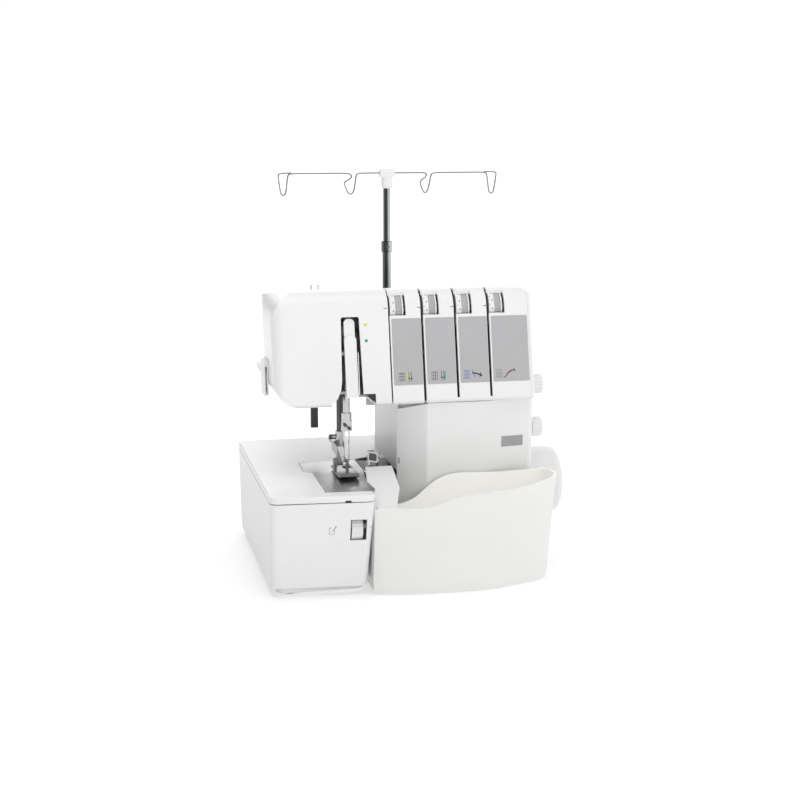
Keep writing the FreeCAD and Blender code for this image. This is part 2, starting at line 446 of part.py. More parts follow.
# disc sets sit on a rail behind the slots
put("tension_disc_sets", Part.makeCompound(discs))
put("tension_disc_rail", fuse([box(-28, 82, -11, -4, 238, 246)] + [box(sx + 4, sx + 8, -24, -8, 238.0, 246) for sx in SLOT_X]))

# flush label panels on the housing face
def face_panel(x0, x1, z0, z1, t=0.6, proud=0.25):
    pts = []
    y0, y1 = face_y(z0), face_y(z1)
    ny, nz = -112.0 / math.hypot(112, 24), 24.0 / math.hypot(112, 24) * 1.0
    p = [(y0 - proud, z0), (y1 - proud, z1), (y1 + t, z1), (y0 + t, z0)]
    s = poly_x(p, x0, x1)
    return fil(s, 1.2, lambda e: abs(abs(e.valueAt(e.FirstParameter).y - e.valueAt(e.LastParameter).y) - (t + proud)) < 0.2 and e.Length < 2)
PANELS = [(SLOT_X[0] + 2.9, SLOT_X[1] - 1.6), (SLOT_X[1] + 2.9, SLOT_X[2] - 1.6), (SLOT_X[2] + 2.9, SLOT_X[3] - 1.6), (SLOT_X[3] + 2.9, 113.5)]
pan = [face_panel(a, b, 197.5, 263.5) for a, b in PANELS]
put("tension_label_panels", Part.makeCompound(pan))
recess = fuse([face_panel(a - 0.05, b + 0.05, 197.4, 263.6, 0.62, 1.0) for a, b in PANELS])
OUT["tension_housing"] = OUT["tension_housing"].cut(recess)

# ---------------------------------------------------------------- take-up cover and lever in the slot
tc = poly_x([(face_y(186) + 2.5, 186.5), (face_y(265) + 2.5, 264.5), (face_y(265) + 5, 264.5), (face_y(186) + 5, 186.5)], -78.6, -67.6)
tc = fil(tc, 4.5, lambda e: abs(mid(e).z - 264.5) < 0.1 and abs(e.valueAt(e.FirstParameter).y - e.valueAt(e.LastParameter).y) > 1.5)
tc2 = poly_x([(face_y(187) + 0.8, 186.5), (face_y(248) + 0.8, 248), (face_y(248) + 4, 248), (face_y(187) + 4, 186.5)], -79.0, -66.6)
tc2 = fil(tc2, 4.5, lambda e: abs(mid(e).z - 248) < 0.1 and abs(e.valueAt(e.FirstParameter).y - e.valueAt(e.LastParameter).y) > 2)
tcs = fuse([tc, tc2, box(-77, -70, face_y(256) + 4.5, -4.05, 254, 258), box(-77, -70, -12, -4.05, 243.05, 254)])
put("takeup_cover", tcs)
# thread take-up lever: thin arm on a cross pivot behind the cover
TL_Y, TL_Z = -30.0, 212.0
tl = fuse([cylx(-66.2, -63.4, TL_Y, TL_Z, 5), poly_x([(TL_Y, TL_Z - 2.5), (TL_Y, TL_Z + 2.5), (-52.5, 222.0), (-51.0, 230), (-53.0, 231.0), (-60.2, 188.6), (-58.2, 188.0), (-55.2, 212.0)], -65.4, -64.2)])
tl = tl.cut(cylx(-67, -63, TL_Y, TL_Z, 2 + RUN))
put("thread_takeup_lever", tl)
put("takeup_lever_pin", fuse([cylx(-67.4, -60.0, TL_Y, TL_Z, 2.0), box(-60.0, -58.0, TL_Y - 3, TL_Y + 3, TL_Z - 4, 287.5)]))

# ---------------------------------------------------------------- needle bar group
put("needle_bar", cylz(168, 236, NEEDLE_X, NEEDLE_Y, 3.5))
nc = fuse([cylz(159, 168, NEEDLE_X, NEEDLE_Y, 5.2), box(-81.2, -70.8, NEEDLE_Y - 3.5, NEEDLE_Y + 3.5, 149, 160)])
nc = fil(nc, 0.8, lambda e: is_z(e) and e.Length > 6)
nc = nc.cut(fuse([cylz(148, 156, -78.4, NEEDLE_Y, 0.95), cylz(148, 156, -73.6, NEEDLE_Y, 0.95)]))
put("needle_clamp", nc)
needles = []
for nx in (-78.4, -73.6):
    needles.append(fuse([cylz(136, 155.9, nx, NEEDLE_Y, 0.94), cylz(120, 136, nx, NEEDLE_Y, 0.5), Part.makeCone(0.05, 0.5, 4, V(nx, NEEDLE_Y, 116), V(0, 0, 1))]))
put("needles", Part.makeCompound(needles))
scs = []
for nx, nz in ((-78.2, 156), (-74.0, 152.6)):
    scs.append(cyly(NEEDLE_Y - 6.6, NEEDLE_Y - 3.5, nx, nz, 1.7))
put("needle_screws", Part.makeCompound(scs))
# presser bar, spring, holder and foot
put("presser_bar", cylz(146, 240, PBAR_X, PBAR_Y, 3.5))
spring = cylz(195.6, 227.9, PBAR_X, PBAR_Y, 5.4).cut(cylz(195, 229, PBAR_X, PBAR_Y, 3.9))
grv = fuse([cylz(198 + 4.0 * k, 200.4 + 4.0 * k, PBAR_X, PBAR_Y, 7).cut(cylz(195, 229, PBAR_X, PBAR_Y, 4.5)) for k in range(7)])
put("presser_spring", spring.cut(grv))
put("presser_collar", fuse([cylz(192.0, 195.5, PBAR_X, PBAR_Y, 6.0), box(-90, -80, PBAR_Y - 3, PBAR_Y + 3, 192.0, 195.5)]).cut(cylz(190, 197, PBAR_X, PBAR_Y, 3.4)))
ph = fuse([cylz(128, 146, PBAR_X, PBAR_Y, 5.0), box(-88.4, -81.9, -60, -28, 126, 136), box(-88.4, -81.9, -60, -52, 116.5, 126)])
ph = ph.cut(cylx(-90, -70, -56, 120, 1.2 + 0.01))
put("presser_holder", ph)
put("presser_screw", cylx(-90.5, -85.05, PBAR_Y, 140, 2.6))
FP_Y, FP_Z = -56.0, 120.0
put("presser_foot_pin", cylx(-91.2, -76.6, FP_Y, FP_Z, 1.2))
pf = fuse([poly_x([(-84, 109.8), (-79, 107.8), (-32, 107.8), (-30, 109.2), (-34, 111.0), (-77, 111.0), (-84, 113.2)], -90.0, -70.0),
           box(-91.4, -88.8, -60, -52, 110, 122.5), box(-78.8, -76.4, -60, -52.5, 110, 122.5)])
pf = pf.cut(cylx(-93, -75, FP_Y, FP_Z, 1.2 + RUN))
pf = pf.cut(box(-80.4, -71.6, -50.8, -41.2, 100, 130))
put("presser_foot", pf)
# presser lifter lever behind the head
LF_Y, LF_Z = 44.0, 192.0
lf = fuse([cyly(38, 44, -95, LF_Z, 6), box(-99, -91, 38.5, 43.5, 136, LF_Z)])
lf = fil(lf, 1.4, lambda e: is_z(e) and mid(e).z < 180)
lf = lf.cut(cyly(36, 46, -95, LF_Z, 3 + RUN))
put("lifter_lever", lf)
put("lifter_lever_pin", cyly(34.0, 48, -95, LF_Z, 3.0).fuse(box(-99, -91, 30.4, 34.0, 187, 225)))

# ---------------------------------------------------------------- loopers, knife, feed dogs
UL_Z = 88.0
ul = fuse([cyly(-40, -34, -44, UL_Z, 5), box(-46.5, -41.5, -39, -35, UL_Z, 119), poly_y([(-46.5, 112), (-41.5, 112), (-41.5, 119), (-48, 120), (-53, 118.6), (-62, 117.6), (-66, 116.4), (-62, 115.4), (-52, 115.0)], -39, -35.5)])
ul = ul.cut(cyly(-41, -33, -44, UL_Z, 2.5 + RUN))
put("upper_looper", ul)
put("upper_looper_pin", cyly(-42, -18.0, -44, UL_Z, 2.5))
ll = fuse([cyly(-32, -26, -52, 70, 5), box(-54, -50, -31, -27, 70, 98), poly_y([(-54, 94), (-50, 94), (-50, 98), (-60, 99), (-66, 97), (-67, 96.2), (-60, 96.4)], -30.5, -27.5)])
ll = ll.cut(cyly(-33, -25, -52, 70, 2.5 + RUN))
put("lower_looper", ll)
put("lower_looper_pin", cyly(-34, -18.0, -52, 70, 2.5))
kh = fuse([box(-53.4, -47.4, -57, -43, 110, 127), box(-53.4, -49.4, -56, -44, 84, 110)])
put("knife_holder", kh)
put("upper_knife", box(-55.6, -53.4, -56, -44, 102, 122))
put("knife_guide", fuse([box(-53.4, -46, -60, -56.05, 76, 82.4), box(-49.35, -46, -60, -41, 76, 82.4), box(-53.4, -46, -43.95, -41, 76, 82.4), box(-49.35, -46, -41, -18, 78, 82.4)]))
fd = []
for x0, y0, y1 in ((-84.7, -78.5, -36), (-79.7, -78.5, -58), (-71.9, -74.5, -32)):
    teeth = [poly_x([(y, 104.9), (y + 2.2, 104.9), (y + 2.2, 106.4)], x0, x0 + 1.8) for y in [y0 + 2.2 * k for k in range(int((y1 - y0) / 2.2))]]
    fd.append(fuse([box(x0, x0 + 1.8, y0, y1, 98.8, 104.95)] + teeth))
fdc = fuse([box(-86, -69, -78.5, -32, 95.5, 98.8)] + fd)
fdc = fdc.cut(box(-80.6, -72.2, -53, -37, 90, 107.5))
put("feed_dogs", fdc)

# ---------------------------------------------------------------- knobs on the right end
for nm, (ky, kz) in KNOBS.items():
    r = 10.5
    k = fuse([cylx(121.6, 128, ky, kz, 8.0), cylx(126, 137, ky, kz, r), cylx(112, 121.7, ky, kz, 4.0)])
    k = fil(k, 1.5, lambda e: e.Curve.TypeId == 'Part::GeomCircle' and mid(e).x > 136.5)
    g = [cylx(126.5, 137.5, ky + (r + 0.5) * math.cos(math.radians(20 * j)), kz + (r + 0.5) * math.sin(math.radians(20 * j)), 1.1) for j in range(18)]
    k = k.cut(fuse(g))
    put(nm, k)

# ---------------------------------------------------------------- thread cutter on the left end
tcut = poly_y([(HEAD_L - 0.05, 186), (HEAD_L - 0.05, 218), (HEAD_L - 3.4, 220), (HEAD_L - 5.2, 216), (HEAD_L - 4.0, 198)], -4, 22)
tcut = fuse([poly_x([(-24, 184), (4, 184), (8, 200), (4, 220), (-20, 220)], HEAD_L - 4.5, HEAD_L - 0.05)])
tcut = tcut.cut(box(HEAD_L - 3.2, HEAD_L - 1.6, -36, -14, 180, 214))
tcut = tcut.cut(box(HEAD_L - 6, HEAD_L, -10, 30, 180, 205)) if False else tcut
# seats only against the flat part of the end wall
put("thread_cutter", tcut)
put("thread_cutter_blade", box(HEAD_L - 2.7, HEAD_L - 2.1, -22, -14, 192, 210))

# ---------------------------------------------------------------- thread stand
st = box(-146, 146, COL_BACK + 0.0, 148.2, STAND_Z, STAND_Z + 9)
st = fil(st, 26, lambda e: is_z(e) and mid(e).y > 140)
st = fil(st, 14, lambda e: is_z(e) and mid(e).y < 100)
st = fil(st, 2.5, lambda e: abs(mid(e).z - STAND_Z) < 0.1)
st = st.cut(box(-150, 150, 60, COL_BACK + 0.02, 180, 200))
SPOOL_X = [-105, -48, 48, 105]
SPOOL_Y = 114.0
st = fuse([st, cylz(STAND_Z + 9, STAND_Z + 14, POLE_X, POLE_Y, 10)])
st = st.cut(cylz(STAND_Z + 2, STAND_Z + 20, POLE_X, POLE_Y, 5.0))
st = st.cut(fuse([cylz(STAND_Z + 3, STAND_Z + 10, x, SPOOL_Y, 3.0) for x in SPOOL_X]))
brk = box(-30, 90, COL_BACK, 84, 150, STAND_Z)
st = fuse([st, brk])
put("spool_stand", st)
pins = []
for x in SPOOL_X:
    p = fuse([cylz(STAND_Z + 3, STAND_Z + 55.5, x, SPOOL_Y, 3.0), cylz(STAND_Z + 50.5, STAND_Z + 74, x, SPOOL_Y, 2.5)])
    pins.append(fil(p, 1.2, lambda e: mid(e).z > STAND_Z + 73))
put("spool_pins", Part.makeCompound(pins))
cones, pads = [], []
for x in SPOOL_X:
    pads.append(cylz(STAND_Z + 9, STAND_Z + 11, x, SPOOL_Y, 24).cut(cylz(STAND_Z, STAND_Z + 20, x, SPOOL_Y, 3.3)))
    c = Part.makeCone(17, 9, 44, V(x, SPOOL_Y, STAND_Z + 11), V(0, 0, 1)).cut(Part.makeCone(15.4, 7.4, 44.02, V(x, SPOOL_Y, STAND_Z + 10.99), V(0, 0, 1)))
    c = fuse([c, cylz(STAND_Z + 11, STAND_Z + 50, x, SPOOL_Y, 4.6), cylz(STAND_Z + 30, STAND_Z + 32, x, SPOOL_Y, 12.2)])
    c = c.cut(cylz(STAND_Z + 5, STAND_Z + 60, x, SPOOL_Y, 3.06))
    cones.append(c)
put("cone_holders", Part.makeCompound(cones))
put("cone_pads", Part.makeCompound(pads))
put("pole_lower", cylz(STAND_Z + 2, 318, POLE_X, POLE_Y, 4.95).cut(cylz(STAND_Z + 6, 319, POLE_X, POLE_Y, 4.05)))
put("pole_collar", fil(cylz(318, 330, POLE_X, POLE_Y, 6.2).cut(cylz(317, 331, POLE_X, POLE_Y, 4.05)), 0.8, lambda e: mid(e).z > 329 or mid(e).z < 318.1))
up = cylz(252, 398, POLE_X, POLE_Y, 4.0)
up = up.cut(cylz(251, 399, POLE_X, POLE_Y, 3.0))
up = up.cut(cyly(-10 + POLE_Y, POLE_Y, POLE_X, 300.0, 1.0))
put("pole_upper", up)
put("pole_catch", fil(cyly(POLE_Y - 7.0, POLE_Y - 6.2, POLE_X, 324, 1.6), 0.3, lambda e: False))
hub = fuse([cylz(388, 400, POLE_X, POLE_Y, 6.0), box(POLE_X - 8.5, POLE_X + 8.5, POLE_Y - 5.2, POLE_Y + 5.2, 400, 409)])
hub = fil(hub, 2.2, lambda e: is_z(e) and mid(e).z > 401)
hub = fil(hub, 1.5, lambda e: abs(mid(e).z - 409) < 0.05)
hub = hub.cut(cylz(387, 398.02, POLE_X, POLE_Y, 4.05)).cut(cylx(POLE_X - 10, POLE_X + 10, POLE_Y, GUIDE_Z, 1.22))
put("guide_hub", hub)

# bent wire guide: bar plus four thread eyes
WR = 1.1
def wire_path(pts, r):
    edges = []
    for a, b in zip(pts[:-1], pts[1:]):
        edges.append((V(*a), V(*b)))
    shapes = []
    for i, (a, b) in enumerate(edges):
        d = b.sub(a)
        shapes.append(Part.makeCylinder(r, d.Length, a, d))
        if i:
            shapes.append(Part.makeSphere(r, a))
    shapes.append(Part.makeSphere(r, edges[0][0])); shapes.append(Part.makeSphere(r, edges[-1][1]))
    s = shapes[0].multiFuse(shapes[1:])
    return s
Z = GUIDE_Z
yp = POLE_Y
left = [(-8.0, yp, Z), (-31, yp, Z), (-34, yp, Z - 3), (-34.6, yp, Z - 15), (-37.5, yp, Z - 19.5), (-42, yp, Z - 19.5), (-44.6, yp, Z - 15), (-42.6, yp, Z - 10), (-40.5, yp - 4, Z - 7.0), (-43.0, yp - 3.4, Z - 3.0), (-48.0, yp - 1.5, Z), (-54, yp, Z), (-119, yp, Z), (-122, yp, Z - 3), (-119.6, yp, Z - 19), (-115, yp, Z - 23), (-110.6, yp, Z - 19), (-110.6, yp + 1.2, Z - 5.5), (-112.5, yp + 2.4, Z - 2.5)]
right = [(-x - 2.8 if -52 < x < -30 else -x, y, z) for x, y, z in left]
left = [(x - 3.5 if -52 < x < -30 else x, y, z) for x, y, z in left]
wires = [wire_path(left, WR), wire_path(right, WR)]
put("thread_guide_wire", Part.makeCompound([w for w in wires]).fuse(cylx(-8.0, 8.0, yp, Z, WR)).removeSplitter() if False else fuse([wires[0], wires[1], cylx(-8.5, 8.5, yp, Z, WR)]))

# ---------------------------------------------------------------- electrics at the lower rear
inl = box(64, 106, 115.0, BACK + 0.4, 28, 56)
inl = inl.cut(box(68, 91, 119.0, 131, 33, 51))
inl = inl.cut(box(94.0, 104.0, 119.0, 131, 33.0, 51.0)).cut(cylx(92.5, 105.5, 127.4, 42, 1.5))
put("power_inlet", inl)
swp = fuse([poly_x([(124.4, 42), (128.2, 34.4), (130.0, 36.0), (129.2, 42), (128.6, 49.6), (126.4, 49.6)], 94.5, 103.5), cylx(92.6, 105.4, 127.4, 42, 1.45)])
put("power_switch", swp)
# cover screws
cs = []
for y, z in ((55, 40), (55, 250), (-10, 250)):
    cs.append(fuse([cylx(116.5, 121.0, y, z, 2.18), cylx(121.0, 122.2, y, z, 3.6)]).cut(box(121.4, 122.4, y - 2.6, y + 2.6, z - 0.4, z + 0.4)).cut(box(121.4, 122.4, y - 0.4, y + 0.4, z - 2.6, z + 2.6)))
put("cover_screws", Part.makeCompound(cs))

# ---------------------------------------------------------------- group identical or moulded-in pieces
def solids(*names):
    r = []
    for n in names:
        r += OUT.pop(n).Solids
    return r
def merge(target, *names):
    OUT[target] = Part.makeCompound(solids(*names))
merge("pivot_pins", "takeup_lever_pin", "lifter_lever_pin", "upper_looper_pin", "lower_looper_pin")
merge("tension_units", "tension_dial_shaft", "tension_disc_rail", "tension_disc_sets")
merge("pole_lower", "pole_lower", "pole_collar", "pole_catch")
merge("frame_casting", "frame_casting", "knife_guide")
OUT["frame_casting"] = OUT["frame_casting"].cut(box(-59.8, -57.9, -32.4, -25.6, 86.0, 93.4))
merge("thread_cutter", "thread_cutter", "thread_cutter_blade")
merge("fixing_screws", "needle_plate_screws", "cover_screws")
merge("needle_clamp", "needle_clamp", "needle_screws")
merge("cone_holders", "cone_holders", "cone_pads")
merge("presser_holder", "presser_holder", "presser_screw", "presser_foot_pin")
OUT["presser_bar"] = OUT["presser_bar"].fuse(OUT.pop("presser_collar")).removeSplitter()
OUT["bed_cover"] = OUT["bed_cover"].fuse(OUT.pop("cutting_width_dial_bracket")).removeSplitter()
OUT["base_plate"] = OUT["base_plate"].fuse(OUT.pop("looper_cover_hinge_brackets").Solids).removeSplitter()

# ---------------------------------------------------------------- export
bb = None
for name, shp in OUT.items():
    sols = shp.Solids
    c = Part.makeCompound(sols) if len(sols) > 1 else sols[0]
    c.exportStep("parts/%s.step" % name)
    b = c.optimalBoundingBox(False)
    print("%-26s solids %2d valid %s vol %7.0f  x %.1f %.1f y %.1f %.1f z %.1f %.1f" % (name, len(sols), shp.isValid(), sum(t.Volume for t in sols), b.XMin, b.XMax, b.YMin, b.YMax, b.ZMin, b.ZMax))
    bb = b if bb is None else bb.united(b)
print("nodes", len(OUT), "box", bb)
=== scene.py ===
import bpy, bmesh, json, math
from mathutils import Vector, Matrix

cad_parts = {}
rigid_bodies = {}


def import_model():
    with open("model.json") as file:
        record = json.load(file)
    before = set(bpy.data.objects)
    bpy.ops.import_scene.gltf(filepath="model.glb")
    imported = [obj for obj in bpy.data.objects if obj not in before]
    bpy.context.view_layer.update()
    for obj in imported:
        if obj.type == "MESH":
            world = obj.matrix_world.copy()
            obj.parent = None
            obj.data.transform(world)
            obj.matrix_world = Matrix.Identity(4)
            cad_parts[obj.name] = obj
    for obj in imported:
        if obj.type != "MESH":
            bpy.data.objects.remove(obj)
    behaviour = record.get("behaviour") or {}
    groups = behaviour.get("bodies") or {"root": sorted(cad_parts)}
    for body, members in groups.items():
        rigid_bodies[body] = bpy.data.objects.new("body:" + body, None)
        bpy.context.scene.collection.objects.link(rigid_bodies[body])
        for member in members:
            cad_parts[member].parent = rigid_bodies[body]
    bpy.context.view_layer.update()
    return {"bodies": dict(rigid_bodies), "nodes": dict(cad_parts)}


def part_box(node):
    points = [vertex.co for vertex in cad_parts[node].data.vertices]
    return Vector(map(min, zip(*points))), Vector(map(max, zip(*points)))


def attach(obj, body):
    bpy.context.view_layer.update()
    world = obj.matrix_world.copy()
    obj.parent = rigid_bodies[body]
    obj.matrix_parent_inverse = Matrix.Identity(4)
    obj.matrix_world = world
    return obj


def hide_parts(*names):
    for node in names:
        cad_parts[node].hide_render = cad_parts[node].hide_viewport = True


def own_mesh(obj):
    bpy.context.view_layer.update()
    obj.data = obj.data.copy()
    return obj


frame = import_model()
NODES = frame["nodes"]


def P(x, y, z):
    return Vector((x / 1000.0, y / 1000.0, z / 1000.0))


# ------------------------------------------------------------------ materials
def _new(name):
    m = bpy.data.materials.new(name)
    m.use_nodes = True
    nt = m.node_tree
    for n in list(nt.nodes):
        nt.nodes.remove(n)
    out = nt.nodes.new("ShaderNodeOutputMaterial")
    b = nt.nodes.new("ShaderNodeBsdfPrincipled")
    nt.links.new(b.outputs[0], out.inputs[0])
    return m, nt, b


def _noise(nt, scale, detail=3.0, stretch=(1, 1, 1), rough=0.55):
    tc = nt.nodes.new("ShaderNodeTexCoord")
    mp = nt.nodes.new("ShaderNodeMapping")
    mp.inputs["Scale"].default_value = stretch
    nz = nt.nodes.new("ShaderNodeTexNoise")
    nz.inputs["Scale"].default_value = scale
    nz.inputs["Detail"].default_value = detail
    nz.inputs["Roughness"].default_value = rough
    nt.links.new(tc.outputs["Object"], mp.inputs[0])
    nt.links.new(mp.outputs[0], nz.inputs["Vector"])
    return nz


def _ramp(nt, src, lo, hi, a=0.35, b=0.65):
    r = nt.nodes.new("ShaderNodeMapRange")
    r.inputs["From Min"].default_value = a
    r.inputs["From Max"].default_value = b
    r.inputs["To Min"].default_value = lo
    r.inputs["To Max"].default_value = hi
    nt.links.new(src, r.inputs["Value"])
    return r


def _tint(nt, src, c0, c1, bsdf, a=0.3, b=0.7):
    r = nt.nodes.new("ShaderNodeValToRGB")
    r.color_ramp.elements[0].position = a
    r.color_ramp.elements[1].position = b
    r.color_ramp.elements[0].color = (*c0, 1)
    r.color_ramp.elements[1].color = (*c1, 1)
    nt.links.new(src, r.inputs[0])
    nt.links.new(r.outputs[0], bsdf.inputs["Base Color"])
    return r


def _bumps(nt, bsdf, layers):
    """layers: (source socket, distance in metres, strength)"""
    prev = None
    for src, dist, strength in layers:
        bp = nt.nodes.new("ShaderNodeBump")
        bp.inputs["Distance"].default_value = dist
        bp.inputs["Strength"].default_value = strength
        nt.links.new(src, bp.inputs["Height"])
        if prev is not None:
            nt.links.new(prev.outputs[0], bp.inputs["Normal"])
        prev = bp
    nt.links.new(prev.outputs[0], bsdf.inputs["Normal"])


def plastic(name, col, rough=0.3, spread=0.05, grain=620.0, grain_mm=0.004, wave_mm=0.04, coat=0.0, var=0.012, sss=0.0):
    """Moulded plastic: fine mould grain, a slow flow unevenness, small colour and gloss changes."""
    m, nt, b = _new(name)
    fine = _noise(nt, grain, 4.0)
    slow = _noise(nt, 22.0, 2.0)
    mid = _noise(nt, 60.0, 2.0)
    c0 = tuple(max(0.0, c * (1 - var)) for c in col)
    c1 = tuple(min(1.0, c * (1 + var)) for c in col)
    _tint(nt, slow.outputs[0], c0, c1, b)
    rr = _ramp(nt, mid.outputs[0], rough - 0.4 * spread, rough + 0.4 * spread)
    nt.links.new(rr.outputs[0], b.inputs["Roughness"])
    _bumps(nt, b, [(slow.outputs[0], wave_mm / 1000.0, 0.08), (fine.outputs[0], grain_mm / 1000.0, 0.2)])
    b.inputs["IOR"].default_value = 1.49
    b.inputs["Coat Weight"].default_value = coat
    b.inputs["Coat Roughness"].default_value = 0.12
    if sss:
        b.inputs["Subsurface Weight"].default_value = sss
        b.inputs["Subsurface Radius"].default_value = (0.002, 0.002, 0.002)
    return m


def metal(name, col, rough=0.25, spread=0.08, stretch=(1, 1, 1), scale=900.0, bump_mm=0.006, var=0.06, aniso=0.0):
    """Machined or plated metal: streaks along one direction, smudges in the gloss."""
    m, nt, b = _new(name)
    streak = _noise(nt, scale, 4.0, stretch, 0.65)
    smudge = _noise(nt, 45.0, 3.0)
    c0 = tuple(max(0.0, c * (1 - var)) for c in col)
    c1 = tuple(min(1.0, c * (1 + var)) for c in col)
    _tint(nt, streak.outputs[0], c0, c1, b)
    mx = nt.nodes.new("ShaderNodeMath")
    mx.operation = "MULTIPLY_ADD"
    mx.inputs[1].default_value = 0.5
    nt.links.new(streak.outputs[0], mx.inputs[0])
    hs = nt.nodes.new("ShaderNodeMath")
    hs.operation = "MULTIPLY"
    hs.inputs[1].default_value = 0.5
    nt.links.new(smudge.outputs[0], hs.inputs[0])
    nt.links.new(hs.outputs[0], mx.inputs[2])
    rr = _ramp(nt, mx.outputs[0], max(0.02, rough - spread), rough + spread)
    nt.links.new(rr.outputs[0], b.inputs["Roughness"])
    _bumps(nt, b, [(streak.outputs[0], bump_mm / 1000.0, 0.5)])
    b.inputs["Metallic"].default_value = 1.0
    b.inputs["Anisotropic"].default_value = aniso
    return m


def rubber(name, col):
    m, nt, b = _new(name)
    n = _noise(nt, 700.0, 5.0)
    s = _noise(nt, 60.0, 2.0)
    _tint(nt, s.outputs[0], tuple(c * 0.8 for c in col), tuple(c * 1.25 for c in col), b)
    rr = _ramp(nt, n.outputs[0], 0.6, 0.8)
    nt.links.new(rr.outputs[0], b.inputs["Roughness"])
    _bumps(nt, b, [(n.outputs[0], 0.00008, 0.6)])
    return m


WHITE = plastic("abs_white", (0.80, 0.80, 0.80), 0.33, 0.04)
WHITE_BED = plastic("abs_white_bed", (0.80, 0.80, 0.80), 0.34, 0.05)
WHITE_SAT = plastic("abs_white_satin", (0.79, 0.79, 0.787), 0.42, 0.05, grain=700.0, grain_mm=0.008)
TRAY = plastic("tray_warm_white", (0.80, 0.797, 0.785), 0.40, 0.05, grain=700.0, grain_mm=0.008, sss=0.05)
PANEL = plastic("panel_silver_grey", (0.43, 0.427, 0.438), 0.44, 0.04, grain=900.0, grain_mm=0.003, wave_mm=0.0, var=0.02)
DIAL_GREY = plastic("dial_grey", (0.43, 0.43, 0.435), 0.5, 0.05, grain=2200.0, grain_mm=0.01)
DARK = plastic("grey_dark_lever", (0.045, 0.045, 0.05), 0.38, 0.06, grain=1500.0, grain_mm=0.02)
BLACK = plastic("black_moulded", (0.016, 0.016, 0.017), 0.45, 0.08, grain=1100.0, grain_mm=0.03)
SLOTBLACK = plastic("slot_black", (0.006, 0.006, 0.006), 0.6, 0.05)
CHROME = metal("chrome_plated", (0.62, 0.63, 0.63), 0.09, 0.04, (1, 1, 0.25), 500.0, 0.002, 0.03)
# tube base colour kept dark, partly painted reflection: dark chrome stands in for dark surroundings reflected in it
POLE = metal("chrome_tube_painted_reflection", (0.13, 0.135, 0.135), 0.14, 0.05, (1, 1, 0.08), 600.0, 0.003, 0.08)
WIRE = metal("wire_plated", (0.27, 0.275, 0.275), 0.18, 0.05, (1, 1, 1), 500.0, 0.002, 0.06)
FOOT = metal("foot_dark_nickel", (0.20, 0.20, 0.205), 0.20, 0.06, (1, 1, 0.3), 800.0, 0.004, 0.12)
CAST = plastic("casting_light_paint", (0.66, 0.66, 0.665), 0.45, 0.08, grain=900.0, grain_mm=0.02)


def tube_tone(mat):
    """painted reflection: bands in the base colour set by the world normal's X, dark across the middle and a bright
    strip (values above 1) on the right, standing in for studio light reflected in polished chrome
    """
    nt = mat.node_tree
    b = [n for n in nt.nodes if n.type == "BSDF_PRINCIPLED"][0]
    old = b.inputs["Base Color"].links[0].from_socket
    g = nt.nodes.new("ShaderNodeNewGeometry")
    sp = nt.nodes.new("ShaderNodeSeparateXYZ")
    nt.links.new(g.outputs["Normal"], sp.inputs[0])
    mr = nt.nodes.new("ShaderNodeMapRange")
    mr.inputs["From Min"].default_value = -1.0
    nt.links.new(sp.outputs["X"], mr.inputs["Value"])
    cr = nt.nodes.new("ShaderNodeValToRGB")
    e = cr.color_ramp.elements
    e[0].position, e[0].color = 0.0, (0.9, 0.9, 0.9, 1)
    e[1].position, e[1].color = 1.0, (2.0, 2.05, 2.05, 1)
    # painted reflection stops: dark bands and bright highlight values across the tube
    for pos, v in ((0.08, 0.85), (0.20, 0.24), (0.46, 0.28), (0.55, 1.7), (0.66, 3.1), (0.85, 3.6)):
        q = e.new(pos)
        q.color = (v, v, v, 1)
    nt.links.new(mr.outputs[0], cr.inputs[0])
    mx = nt.nodes.new("ShaderNodeMix")
    mx.data_type = "RGBA"
    mx.blend_type = "MULTIPLY"
    mx.inputs[0].default_value = 1.0
    nt.links.new(old, mx.inputs[6])
    nt.links.new(cr.outputs[0], mx.inputs[7])
    nt.links.new(mx.outputs[2], b.inputs["Base Color"])


# painted reflection in the chrome tube's base colour
tube_tone(POLE)
STEEL = metal("steel_ground", (0.50, 0.50, 0.51), 0.27, 0.08, (1, 1, 0.2), 800.0, 0.006, 0.10)
DARKSTEEL = metal("steel_dark", (0.20, 0.20, 0.205), 0.30, 0.08, (1, 1, 0.3), 900.0, 0.006, 0.12)
PLATE = metal("plate_brushed", (0.40, 0.40, 0.405), 0.34, 0.06, (0.04, 1, 1), 1500.0, 0.008, 0.10, 0.4)
ALU = metal("aluminium_cast", (0.60, 0.60, 0.61), 0.42, 0.08, (1, 1, 1), 380.0, 0.05, 0.06)
BLACKSTEEL = metal("screw_black", (0.09, 0.09, 0.092), 0.32, 0.08, (1, 1, 1), 700.0, 0.01, 0.15)
RUBBER = rubber("rubber_black", (0.022, 0.022, 0.023))
INK = plastic("print_dark", (0.05, 0.05, 0.055), 0.5, 0.04, grain=3000.0, grain_mm=0.004)
INK_GREY = plastic("print_grey", (0.22, 0.22, 0.23), 0.5, 0.04, grain=3000.0, grain_mm=0.004)
INK_YEL = plastic("print_yellow", (0.66, 0.62, 0.05), 0.5, 0.04, grain=3000.0, grain_mm=0.004)
INK_GRN = plastic("print_green", (0.0, 0.30, 0.21), 0.5, 0.04, grain=3000.0, grain_mm=0.004)
INK_BLU = plastic("print_blue", (0.06, 0.12, 0.45), 0.5, 0.04, grain=3000.0, grain_mm=0.004)
INK_RED = plastic("print_red", (0.50, 0.03, 0.03), 0.5, 0.04, grain=3000.0, grain_mm=0.004)
BADGE = plastic("badge_grey", (0.33, 0.33, 0.34), 0.4, 0.04, grain=2400.0, grain_mm=0.006)
FELT = rubber("felt_pad_grey", (0.22, 0.22, 0.225))

